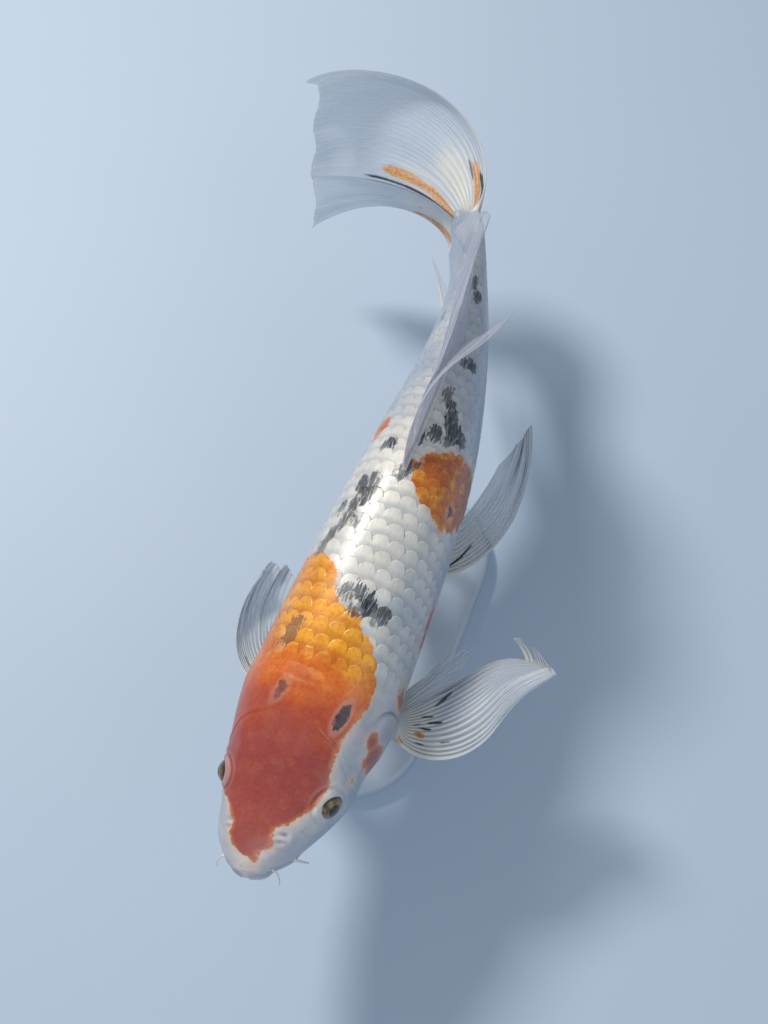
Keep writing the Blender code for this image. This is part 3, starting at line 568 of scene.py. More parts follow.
def markings(nt, scaly):
    """Base colour of skin or scales from the marking fields, and how much ink lies there."""
    here = node(nt, "TexCoord").outputs["Object"]
    along, around, _ = axes(nt, uv(nt, "Body"))
    red, ink, strength = attribute(nt, "red"), attribute(nt, "ink"), attribute(nt, "ink_strength")
    broad = noise(nt, here, 42.0, 3.0)
    middle = noise(nt, here, 150.0, 4.0)
    fine = noise(nt, here, 520.0, 4.0, 0.6)
    grain = noise(nt, uv(nt, "Grain"), 1.0, 3.0, 0.6)
    # red: edges wander, and on scales they follow the scales
    edge = calc(nt, "MULTIPLY_ADD", calc(nt, "SUBTRACT", middle, 0.5), 7.0, red)
    edge = calc(nt, "MULTIPLY_ADD", calc(nt, "SUBTRACT", fine, 0.5), 3.6, edge)
    if scaly:
        edge = calc(nt, "MULTIPLY_ADD", calc(nt, "SUBTRACT", grain, 0.5), 3.5, edge)
    red_mask = step(nt, edge, 0.75, -0.75)
    # ink: broken into streaks along each scale's fan
    edge = calc(nt, "MULTIPLY_ADD", calc(nt, "SUBTRACT", fine, 0.5), 3.5, ink)
    edge = calc(nt, "MULTIPLY_ADD", calc(nt, "SUBTRACT", middle, 0.5), 5.0, edge)
    edge = calc(nt, "MULTIPLY_ADD", calc(nt, "SUBTRACT", grain, 0.5), 5.5 if scaly else 3.0, edge)
    ink_mask = calc(nt, "MULTIPLY", step(nt, edge, 0.7, -0.5), strength)
    if scaly:
        gaps = calc(nt, "MULTIPLY", step(nt, grain, 0.50, 0.68), step(nt, calc(nt, "ADD", ink, calc(nt, "MULTIPLY", middle, 3.0)), -2.5, 1.0, 0.15, 0.80))
        ink_mask = calc(nt, "MULTIPLY", ink_mask, calc(nt, "SUBTRACT", 1.0, gaps))
    # white: warm cream over the back, a darker cool blue-grey down the flanks, along the stalk and towards the head,
    # and a plain mid grey under the belly: partly the white's own pearly tint, mostly painted shade of the flanks and
    # the underside
    down = calc(nt, "ABSOLUTE", calc(nt, "SUBTRACT", around, 0.5))
    cool_tint_and_shade = calc(nt, "ADD", calc(nt, "MULTIPLY", down, 2.6), calc(nt, "MULTIPLY", step(nt, along, 0.52, 0.70), 0.55))
    cool_tint_and_shade = calc(nt, "ADD", cool_tint_and_shade, calc(nt, "MULTIPLY", calc(nt, "SUBTRACT", broad, 0.5), 1.1))
    cool_tint_and_shade = calc(nt, "ADD", cool_tint_and_shade, calc(nt, "MULTIPLY", step(nt, along, 0.30, 0.16), 0.25))
    white = mix(nt, step(nt, cool_tint_and_shade, 0.10, 1.00), WHITE_BACK, WHITE_FLANK_PAINTED_SHADE)
    # painted shade: under the belly the white turns to a plain mid grey
    white = mix(nt, calc(nt, "MULTIPLY", step(nt, down, 0.36, 0.47), 0.6), white, (0.55, 0.56, 0.57))
    # lilac, rose and straw show through the white in soft clouds
    cloud = noise(nt, here, 24.0, 3.0, 0.6)
    white = mix(nt, calc(nt, "MULTIPLY", step(nt, cloud, 0.52, 0.70), 0.42), white, (0.58, 0.47, 0.56))
    white = mix(nt, calc(nt, "MULTIPLY", step(nt, cloud, 0.46, 0.30), 0.30), white, (0.70, 0.62, 0.44))
    white = mix(nt, calc(nt, "MULTIPLY", step(nt, middle, 0.60, 0.42), 0.16), white, (0.34, 0.40, 0.48))
    if scaly:                                            # pearly streaks along each scale's fan
        # darker cool streaks and light streaks along each scale's fan: partly the scale's striations, partly painted
        # pearly sheen
        white = mix(nt, calc(nt, "MULTIPLY", step(nt, grain, 0.50, 0.68), 0.34), white, (0.30, 0.375, 0.49))
        white = mix(nt, calc(nt, "MULTIPLY", step(nt, grain, 0.44, 0.30), 0.30), white, (0.84, 0.82, 0.78))
    # a narrow blush and then a straw tint border the red
    near = calc(nt, "MULTIPLY", step(nt, red, 5.0, 0.5), 0.42)
    white = mix(nt, near, white, (0.74, 0.55, 0.40))
    # red is deep on the head and turns to bright gold over the shoulders: partly the red's own change of tone, partly
    # painted shade on the head and painted sunlight on the shoulders
    tone = calc(nt, "MULTIPLY_ADD", calc(nt, "SUBTRACT", broad, 0.5), 0.10, along)
    hue = ramp(nt, tone, [(0.00, (0.40, 0.070, 0.050)), (0.13, (0.33, 0.046, 0.036)), (0.185, (0.45, 0.058, 0.012)),
                          (0.235, (0.76, 0.165, 0.006)), (0.28, (0.96, 0.400, 0.006)), (0.34, (0.93, 0.380, 0.018)),
                          (0.48, (0.64, 0.180, 0.012)), (0.60, (0.46, 0.085, 0.020))])
    # painted shade: the red is duller and darker down the sides than over the top
    hue = mix(nt, step(nt, down, 0.115, 0.25), hue, (0.31, 0.080, 0.065))
    # golden clouds over the shoulders: partly the red's own tone, partly painted sunlight
    golden_and_sunlit = calc(nt, "MULTIPLY", step(nt, middle, 0.48, 0.66), step(nt, along, 0.20, 0.27, 0.05, 0.55))
    hue = mix(nt, golden_and_sunlit, hue, (0.95, 0.50, 0.05))
    hue = mix(nt, calc(nt, "MULTIPLY", step(nt, fine, 0.54, 0.36), 0.30), hue, (0.34, 0.030, 0.008))
    hue = mix(nt, calc(nt, "MULTIPLY", step(nt, cloud, 0.50, 0.68), 0.35), hue, (0.40, 0.085, 0.062))
    # the red thins to orange at its rim
    hue = mix(nt, calc(nt, "MULTIPLY", step(nt, red, -3.0, -0.4), 0.45), hue, (0.78, 0.26, 0.045))
    colour = mix(nt, red_mask, white, hue)
    # ink on red has a pale halo
    halo = calc(nt, "MULTIPLY", step(nt, ink, 2.6, 0.9), calc(nt, "MULTIPLY", red_mask, 0.35))
    colour = mix(nt, calc(nt, "MULTIPLY", halo, strength), colour, (0.66, 0.40, 0.33))
    ink_tone = mix(nt, step(nt, middle, 0.42, 0.66), INK_DARK, INK_BLUE)
    colour = mix(nt, ink_mask, colour, ink_tone)
    return colour, ink_mask, red_mask, (here, along, down, broad, middle, fine, grain)


def skin_material():
    m, nt, shader = make("koi_skin")
    colour, ink, red, (here, along, down, broad, middle, fine, grain) = markings(nt, False)
    # raised relief such as the lips, the gill cover's edge and the nostril flap is paler: partly pale bony tissue
    # showing through, partly painted highlight
    ridge = attribute(nt, "ridge")
    colour = mix(nt, calc(nt, "MULTIPLY", step(nt, ridge, 0.25, 1.1), 0.30), colour, (0.80, 0.74, 0.70))
    # painted shade: the relief's pits, furrows and the eye socket are darkened
    colour = mix(nt, calc(nt, "MULTIPLY", step(nt, ridge, -0.15, -1.3), 0.50), colour, (0.17, 0.085, 0.085))
    # fine branching veins under the white, and dark pores over the skull
    veins = noise(nt, here, 170.0, 5.0, 0.7, 1.6)
    vein = calc(nt, "MULTIPLY", step(nt, veins, 0.475, 0.50), step(nt, veins, 0.525, 0.50))
    colour = mix(nt, calc(nt, "MULTIPLY", vein, 0.20), colour, (0.50, 0.22, 0.22))
    spots = node(nt, "TexVoronoi", {"feature": "F1"}, Vector=here, Scale=210.0).outputs["Distance"]
    colour = mix(nt, calc(nt, "MULTIPLY", step(nt, spots, 0.16, 0.08), 0.28), colour, (0.20, 0.10, 0.09))
    put(nt, shader.inputs["Base Color"], colour)
    put(nt, shader.inputs["Roughness"], step(nt, middle, 0.3, 0.7, 0.30, 0.46))
    shader.inputs["Specular IOR Level"].default_value = 0.5
    shader.inputs["Coat Weight"].default_value = 0.45
    shader.inputs["Coat Roughness"].default_value = 0.16
    shader.inputs["Subsurface Weight"].default_value = 0.12
    shader.inputs["Subsurface Radius"].default_value = (1.0, 0.45, 0.3)
    shader.inputs["Subsurface Scale"].default_value = 0.004
    pores = node(nt, "TexVoronoi", {"feature": "F1"}, Vector=here, Scale=620.0).outputs["Distance"]
    height = calc(nt, "ADD", calc(nt, "MULTIPLY", fine, 0.7), calc(nt, "MULTIPLY", step(nt, pores, 0.0, 0.30), 0.30))
    height = calc(nt, "ADD", height, calc(nt, "MULTIPLY", middle, 0.8))
    relief_node = node(nt, "Bump", None, Strength=0.40, Distance=0.00025, Height=height)
    put(nt, shader.inputs["Normal"], relief_node.outputs[0])
    return m


def scale_material():
    m, nt, shader = make("koi_scales")
    colour, ink, red, (here, along, down, broad, middle, fine, grain) = markings(nt, True)
    p, q, _ = axes(nt, uv(nt, "Leaf"))
    chance, free, line = attribute(nt, "chance"), attribute(nt, "free"), attribute(nt, "lateral")
    # each scale: a soft painted shade where it comes out from under the last one, partly its own darker net of pigment,
    # a painted highlight along its thin rim, pearly guanine in between, and fine rays to the rim with painted glints
    pocket = calc(nt, "MULTIPLY", step(nt, p, 0.74, 0.50), calc(nt, "SUBTRACT", 1.0, calc(nt, "MULTIPLY", ink, 0.7)))
    pocket = calc(nt, "MULTIPLY", pocket, free)
    shade = mix(nt, red, (0.30, 0.36, 0.44), (0.40, 0.055, 0.012))
    colour = mix(nt, calc(nt, "MULTIPLY", pocket, 0.38), colour, shade)
    off = calc(nt, "ABSOLUTE", calc(nt, "SUBTRACT", q, 0.5))
    fan = calc(nt, "DIVIDE", calc(nt, "SUBTRACT", q, 0.5), calc(nt, "ADD", p, 0.25))
    rays = calc(nt, "SINE", calc(nt, "MULTIPLY_ADD", fan, 88.0, calc(nt, "MULTIPLY", chance, 9.0)))
    rays = calc(nt, "MULTIPLY", step(nt, rays, 0.0, 1.0), calc(nt, "MULTIPLY", step(nt, p, 0.50, 0.72), step(nt, grain, 0.36, 0.60)))
    # the colour of the painted highlights on the scales' rays and rims
    glint_colour = mix(nt, red, (0.86, 0.86, 0.83), (0.95, 0.42, 0.07))
    # painted glints along the fine rays
    painted_glints = calc(nt, "MULTIPLY", rays, calc(nt, "MULTIPLY_ADD", ink, -0.10, 0.22))
    colour = mix(nt, painted_glints, colour, glint_colour)
    # painted highlight: a light band along each scale's rim
    rim = calc(nt, "MULTIPLY", step(nt, p, 0.90, 0.99), calc(nt, "SUBTRACT", 1.0, calc(nt, "MULTIPLY", ink, 0.8)))
    colour = mix(nt, calc(nt, "MULTIPLY", rim, 0.22), colour, glint_colour)
    # the lateral line's pores: a short dark tube in the middle of each scale of one row
    tube = calc(nt, "MULTIPLY", calc(nt, "MULTIPLY", step(nt, off, 0.070, 0.035), line),
                calc(nt, "MULTIPLY", step(nt, p, 0.56, 0.62), step(nt, p, 0.86, 0.78)))
    colour = mix(nt, calc(nt, "MULTIPLY", tube, 0.55), colour, (0.16, 0.17, 0.19))
    tint = step(nt, chance, 0.0, 1.0, 0.92, 1.04)
    tinted = nt.nodes.new("ShaderNodeVectorMath")
    tinted.operation = "SCALE"
    put(nt, tinted.inputs[0], colour)
    put(nt, tinted.inputs["Scale"], tint)
    put(nt, shader.inputs["Base Color"], tinted.outputs[0])
    put(nt, shader.inputs["Roughness"], step(nt, calc(nt, "ADD", middle, calc(nt, "MULTIPLY", rays, 0.15)), 0.3, 0.8, 0.30, 0.46))
    put(nt, shader.inputs["Metallic"], calc(nt, "MULTIPLY", step(nt, chance, 0.2, 1.0, 0.02, 0.16),
                                            calc(nt, "SUBTRACT", 1.0, ink)))
    shader.inputs["Coat Weight"].default_value = 0.35
    shader.inputs["Coat Roughness"].default_value = 0.16
    rings = calc(nt, "SINE", calc(nt, "MULTIPLY", node(nt, "VectorMath", {"operation": "LENGTH"}, i0=node(
        nt, "CombineXYZ", None, X=calc(nt, "ADD", p, 0.1), Y=calc(nt, "MULTIPLY", off, 1.2)).outputs[0]).outputs["Value"], 120.0))
    height = calc(nt, "ADD", calc(nt, "MULTIPLY", rays, 0.8), calc(nt, "MULTIPLY", rings, 0.12))
    height = calc(nt, "ADD", height, calc(nt, "MULTIPLY", fine, 0.6))
    height = calc(nt, "ADD", height, calc(nt, "MULTIPLY", tube, 1.2))
    relief_node = node(nt, "Bump", None, Strength=0.40, Distance=0.00016, Height=height)
    put(nt, shader.inputs["Normal"], relief_node.outputs[0])
    return m


# gap sets how strong the painted shade between the rays near the body is
def fin_material(name, membrane, ray_colour, clear, gap=0.0, cover=0.86):
    m, nt, shader = make(name)
    here = node(nt, "TexCoord").outputs["Object"]
    across, out, _ = axes(nt, uv(nt, "Ray"))
    ray, ink, red = attribute(nt, "ray"), attribute(nt, "ink"), attribute(nt, "red")
    root, cream = attribute(nt, "root"), attribute(nt, "cream")
    fine = noise(nt, here, 600.0, 4.0, 0.6)
    streak = noise(nt, stretched(nt, uv(nt, "Ray"), (120.0, 3.5, 1.0)), 1.0, 4.0, 0.6)
    hair = noise(nt, stretched(nt, uv(nt, "Ray"), (420.0, 5.0, 1.0)), 1.0, 3.0, 0.6)
    broad = noise(nt, here, 60.0, 3.0)
    thin = mix(nt, step(nt, broad, 0.30, 0.70), tuple(c * 0.88 for c in membrane), tuple(min(1.0, c * 1.12) for c in membrane))
    thin = mix(nt, calc(nt, "MULTIPLY", step(nt, streak, 0.44, 0.62), 0.30), thin, tuple(c * 0.55 for c in membrane))
    # between the rays near the body the membrane is thin, and it is darkened there as painted shade of the grooves
    groove_shade = calc(nt, "MULTIPLY", step(nt, out, 0.05, 0.16), step(nt, out, 0.72, 0.30))
    thin = mix(nt, calc(nt, "MULTIPLY", groove_shade, gap), thin, tuple(c * 0.36 for c in membrane))
    joints = calc(nt, "SINE", calc(nt, "MULTIPLY", out, 420.0))
    bony = mix(nt, calc(nt, "MULTIPLY", step(nt, joints, 0.3, 1.0), 0.14), ray_colour, tuple(c * 0.66 for c in ray_colour))
    bony = mix(nt, calc(nt, "MULTIPLY", step(nt, hair, 0.56, 0.40), 0.16), bony, tuple(c * 0.70 for c in ray_colour))
    bony = mix(nt, step(nt, out, 0.10, 0.75, 0.0, 0.80), bony, tuple(c * 1.10 for c in membrane))
    rayed = step(nt, calc(nt, "MULTIPLY_ADD", calc(nt, "SUBTRACT", hair, 0.5), 0.35, ray), 0.02, 0.90)
    colour = mix(nt, rayed, thin, bony)
    colour = mix(nt, calc(nt, "MULTIPLY", cream, 0.8), colour, (0.80, 0.74, 0.62))
    colour = mix(nt, step(nt, root, 0.0, 1.0), colour, (0.72, 0.70, 0.68))
    wander = calc(nt, "MULTIPLY_ADD", calc(nt, "SUBTRACT", streak, 0.5), 1.3, red)
    wander = calc(nt, "MULTIPLY_ADD", calc(nt, "SUBTRACT", hair, 0.5), 0.6, wander)
    red_mask = step(nt, wander, 0.28, 0.80)
    tawny = mix(nt, step(nt, fine, 0.4, 0.62), (0.50, 0.170, 0.018), (0.76, 0.34, 0.045))
    colour = mix(nt, red_mask, colour, mix(nt, calc(nt, "MULTIPLY", step(nt, ray, 0.9, 0.2), 0.15), tawny, thin))
    wander = calc(nt, "MULTIPLY_ADD", calc(nt, "SUBTRACT", streak, 0.5), 1.1, ink)
    wander = calc(nt, "MULTIPLY_ADD", calc(nt, "SUBTRACT", fine, 0.5), 0.5, wander)
    ink_mask = step(nt, wander, 0.30, 0.72)
    colour = mix(nt, ink_mask, colour, (0.022, 0.026, 0.036))
    put(nt, shader.inputs["Base Color"], colour)
    # rays and the flesh at the root are solid, and the membrane clears towards the margin
    far = step(nt, out, 0.20, 1.05, 1.0, 0.62)
    solid = calc(nt, "MULTIPLY_ADD", rayed, cover - clear, clear)
    solid = calc(nt, "MULTIPLY_ADD", calc(nt, "SUBTRACT", streak, 0.5), 0.22, solid)
    solid = calc(nt, "MULTIPLY", solid, far)
    solid = calc(nt, "MAXIMUM", solid, calc(nt, "MULTIPLY", root, 1.1))
    solid = calc(nt, "MAXIMUM", solid, calc(nt, "MULTIPLY", cream, 0.90))
    solid = calc(nt, "MAXIMUM", solid, calc(nt, "MULTIPLY", calc(nt, "MAXIMUM", ink_mask, red_mask), 0.88))
    put(nt, shader.inputs["Alpha"], calc(nt, "MINIMUM", solid, 1.0))
    put(nt, shader.inputs["Roughness"], step(nt, fine, 0.3, 0.7, 0.42, 0.60))
    shader.inputs["Coat Weight"].default_value = 0.12
    shader.inputs["Coat Roughness"].default_value = 0.22
    # light comes through from the far side
    shader.inputs["Subsurface Weight"].default_value = 0.45
    shader.inputs["Subsurface Radius"].default_value = (1.0, 1.0, 1.0)
    shader.inputs["Subsurface Scale"].default_value = 0.003
    height = calc(nt, "ADD", calc(nt, "MULTIPLY", streak, 0.5), calc(nt, "MULTIPLY", hair, 0.5))
    height = calc(nt, "ADD", height, calc(nt, "MULTIPLY", joints, 0.06))
    relief_node = node(nt, "Bump", None, Strength=0.30, Distance=0.00018, Height=height)
    put(nt, shader.inputs["Normal"], relief_node.outputs[0])
    return m


def eye_material():
    m, nt, shader = make("koi_eye")
    r, t, _ = axes(nt, uv(nt, "Iris"))                      # r: share of the ball's visible radius
    here = node(nt, "TexCoord").outputs["Object"]
    fine = noise(nt, here, 900.0, 4.0, 0.6)
    broad = noise(nt, here, 260.0, 3.0)
    streak = noise(nt, stretched(nt, uv(nt, "Iris"), (2.5, 46.0, 1.0)), 1.0, 3.0)
    iris = mix(nt, step(nt, streak, 0.35, 0.65), (0.085, 0.040, 0.010), (0.30, 0.150, 0.022))
    iris = mix(nt, calc(nt, "MULTIPLY", step(nt, broad, 0.45, 0.62), 0.75), iris, (0.050, 0.040, 0.014))
    iris = mix(nt, calc(nt, "MULTIPLY", step(nt, fine, 0.52, 0.66), 0.5), iris, (0.030, 0.020, 0.010))
    edge = calc(nt, "MULTIPLY_ADD", calc(nt, "SUBTRACT", fine, 0.5), 0.04, r)
    colour = mix(nt, step(nt, edge, 0.520, 0.490), iris, (0.004, 0.004, 0.006))
    ring = calc(nt, "MULTIPLY", step(nt, edge, 0.515, 0.530), step(nt, edge, 0.575, 0.550))
    colour = mix(nt, calc(nt, "MULTIPLY", ring, 0.55), colour, (0.42, 0.23, 0.045))
    colour = mix(nt, step(nt, edge, 0.76, 0.98), colour, (0.030, 0.024, 0.014))
    put(nt, shader.inputs["Base Color"], colour)
    put(nt, shader.inputs["Roughness"], step(nt, fine, 0.3, 0.7, 0.16, 0.28))
    shader.inputs["Coat Weight"].default_value = 1.0
    shader.inputs["Coat Roughness"].default_value = 0.015
    return m


def barbel_material():
    m, nt, shader = make("koi_barbel")
    here = node(nt, "TexCoord").outputs["Object"]
    fine = noise(nt, here, 700.0, 4.0, 0.6)
    colour = mix(nt, step(nt, fine, 0.35, 0.65), (0.78, 0.66, 0.60), (0.86, 0.80, 0.77))
    colour = mix(nt, calc(nt, "MULTIPLY", step(nt, attribute(nt, "tip"), 0.3, 1.0), 0.5), colour, (0.74, 0.42, 0.32))
    put(nt, shader.inputs["Base Color"], colour)
    put(nt, shader.inputs["Roughness"], step(nt, fine, 0.3, 0.7, 0.28, 0.42))
    shader.inputs["Coat Weight"].default_value = 0.4
    shader.inputs["Coat Roughness"].default_value = 0.15
    relief_node = node(nt, "Bump", None, Strength=0.3, Distance=0.0002, Height=fine)
    put(nt, shader.inputs["Normal"], relief_node.outputs[0])
    return m


def base_material():
    m, nt, shader = make("stand_base_satin")
    here = node(nt, "TexCoord").outputs["Object"]
    fine = noise(nt, here, 1400.0, 3.0, 0.6)
    broad = noise(nt, here, 18.0, 3.0)
    colour = mix(nt, step(nt, broad, 0.35, 0.65), (0.42, 0.49, 0.57), (0.46, 0.53, 0.61))
    put(nt, shader.inputs["Base Color"], colour)
    put(nt, shader.inputs["Roughness"], step(nt, fine, 0.3, 0.7, 0.38, 0.50))
    relief_node = node(nt, "Bump", None, Strength=0.25, Distance=0.0001, Height=fine)
    put(nt, shader.inputs["Normal"], relief_node.outputs[0])
    return m


def steel_material():
    m, nt, shader = make("stand_rod_steel")
    here = node(nt, "TexCoord").outputs["Object"]
    brushed = noise(nt, stretched(nt, here, (60.0, 60.0, 2600.0)), 1.0, 3.0, 0.6)
    colour = mix(nt, step(nt, brushed, 0.35, 0.65), (0.50, 0.51, 0.53), (0.62, 0.63, 0.65))
    put(nt, shader.inputs["Base Color"], colour)
    shader.inputs["Metallic"].default_value = 1.0
    put(nt, shader.inputs["Roughness"], step(nt, brushed, 0.3, 0.7, 0.26, 0.40))
    relief_node = node(nt, "Bump", None, Strength=0.2, Distance=0.00005, Height=brushed)
    put(nt, shader.inputs["Normal"], relief_node.outputs[0])
    return m


def floor_material():
    m, nt, shader = make("floor_pale")
    here = node(nt, "TexCoord").outputs["Object"]
    broad = noise(nt, here, 3.0, 3.0)
    colour = mix(nt, broad, (0.45, 0.55, 0.68), (0.48, 0.58, 0.71))
    put(nt, shader.inputs["Base Color"], colour)
    shader.inputs["Roughness"].default_value = 0.6
    return m


SKIN, SCALES = skin_material(), scale_material()
FIN = fin_material("koi_fin", (0.46, 0.53, 0.62), (0.72, 0.70, 0.64), 0.50, 0.62, 0.90)
DORSAL = fin_material("koi_dorsal_fin", (0.40, 0.44, 0.54), (0.47, 0.46, 0.55), 0.50, 0.0, 0.72)
TAIL = fin_material("koi_tail_fin", (0.47, 0.545, 0.65), (0.56, 0.61, 0.68), 0.50, 0.0, 0.76)
EYE, BARBEL, BASE, STEEL = eye_material(), barbel_material(), base_material(), steel_material()


# ================================================================ the skin
def corner_values(quads, values):
    return values[quads.ravel()]


def make_skin():
    rows = np.concatenate([[0.0006, 0.0016, 0.0030, 0.0046, 0.0064], np.linspace(0.0082, 0.252, 186),
                           np.linspace(0.252, 0.985, 126)[1:], np.linspace(0.985, FLESH_END - 0.0006, 13)[1:]])
    count = 300
    angles = np.radians(np.linspace(-180, 180, count, endpoint=False))
    F, A = np.meshgrid(rows, angles, indexing="ij")
    F = np.where(F > 0.985, 0.985 + (F - 0.985) * (end_at(A) - 0.985) / (FLESH_END - 0.985), F)
    P = flesh(F, A)
    h = relief(F, A, False)
    n = len(rows)
    points = P.reshape(-1, 3)
    index = np.arange(n * count).reshape(n, count)
    nxt = np.roll(index, -1, axis=1)
    quads = np.stack([index[:-1], nxt[:-1], nxt[1:], index[1:]], -1).reshape(-1, 4)
    quads = outward(quads, points, points[quads[len(quads) // 2][0]] - frame(F.ravel()[quads[len(quads) // 2][0]])[0])
    # snout tip
    tip = points[:count].mean(0) - frame(0.0)[1] * 0.00005
    points = np.vstack([points, tip])
    f_all = np.append(F.ravel(), 0.0)
    a_all = np.append(A.ravel(), 0.0)
    h_all = np.append(h.ravel(), h[0].mean())
    first = index[0]
    tris = np.stack([first, np.full(count, len(points) - 1), np.roll(first, -1)], -1)
    t = tris[0]
    nn = np.cross(points[t[1]] - points[t[0]], points[t[2]] - points[t[0]])
    if np.dot(nn, -frame(0.0)[1]) < 0:
        tris = tris[:, ::-1]
    # the rear edge closes left to right over the tail fin's root
    last = index[-1]
    ring = [(last[j], last[j + 1], last[(count - j - 1) % count], last[(count - j) % count]) for j in range(1, count // 2 - 1)]
    cap = np.array(ring)
    ends = [(last[0], last[1], last[count - 1]), (last[count // 2 - 1], last[count // 2], last[count // 2 + 1])]
    q = cap[len(cap) // 2]
    nn = np.cross(points[q[1]] - points[q[0]], points[q[3]] - points[q[0]])
    if np.dot(nn, frame(1.0)[1]) < 0:
        cap = cap[:, ::-1]
        ends = [e[::-1] for e in ends]
    all_quads = np.vstack([quads, cap])
    all_tris = np.vstack([tris, np.array(ends)])
    corner = np.concatenate([all_quads.ravel(), all_tris.ravel()])
    u = f_all / 1.05
    v = a_all / (2 * pi) + 0.5
    body = np.stack([f_all[corner], v[corner]], -1)
    # the seam's last column goes on to 1, so that no face runs back across the map
    k = len(quads) * 4
    wrapcol = np.zeros(len(corner), bool)
    face_v = v[corner[:k]].reshape(-1, 4)
    over = (face_v.max(1) - face_v.min(1)) > 0.5
    wrapcol[:k] = (over[:, None] & (face_v < 0.5)).ravel()
    body[wrapcol, 1] += 1.0
    bake = np.stack([0.02 + 0.90 * body[:, 0] / 1.04, 0.01 + 0.98 * np.clip(body[:, 1], 0, 1)], -1)
    cap_from = len(quads) * 4
    cap_to = len(all_quads) * 4
    bake[cap_from:cap_to] = np.stack([0.955 + 0.02 * np.tile([0, 0, 1, 1], len(cap)), bake[cap_from:cap_to, 1]], -1)
    k = len(all_quads) * 4
    fan = np.arange(count) / count
    bake[k:k + 3 * count] = np.stack([np.tile([0.018, 0.004, 0.018], count),
                                      0.01 + 0.98 * np.stack([fan, fan + 0.5 / count, fan + 1 / count], -1).ravel()], -1)
    bake[k + 3 * count:] = [(0.985, 0.1), (0.99, 0.1), (0.985, 0.11), (0.985, 0.2), (0.99, 0.2), (0.985, 0.21)]
    grain = np.stack([body[:, 1] * 160.0, body[:, 0] * 60.0], -1)
    red = red_edge(f_all, a_all)
    ink, strength = ink_edge(f_all, a_all)
    return build("koi_skin", points, all_quads, SKIN, {"OFBake": bake, "Body": body, "Grain": grain},
                 {"red": red, "ink": ink, "ink_strength": strength, "ridge": h_all}, all_tris)


# ================================================================ the coat of scales
COLUMNS = 15                     # scales from back to belly on each side
ALONG, ACROSS = 8, 8             # cells of one scale's mesh
HALFWAY = 0.53                   # share of the length where the coat's front pieces end


def scale_pitch(f):
    """mm from one row of scales to the next."""
    return 0.45 * half_girth(f) / COLUMNS + 4.0


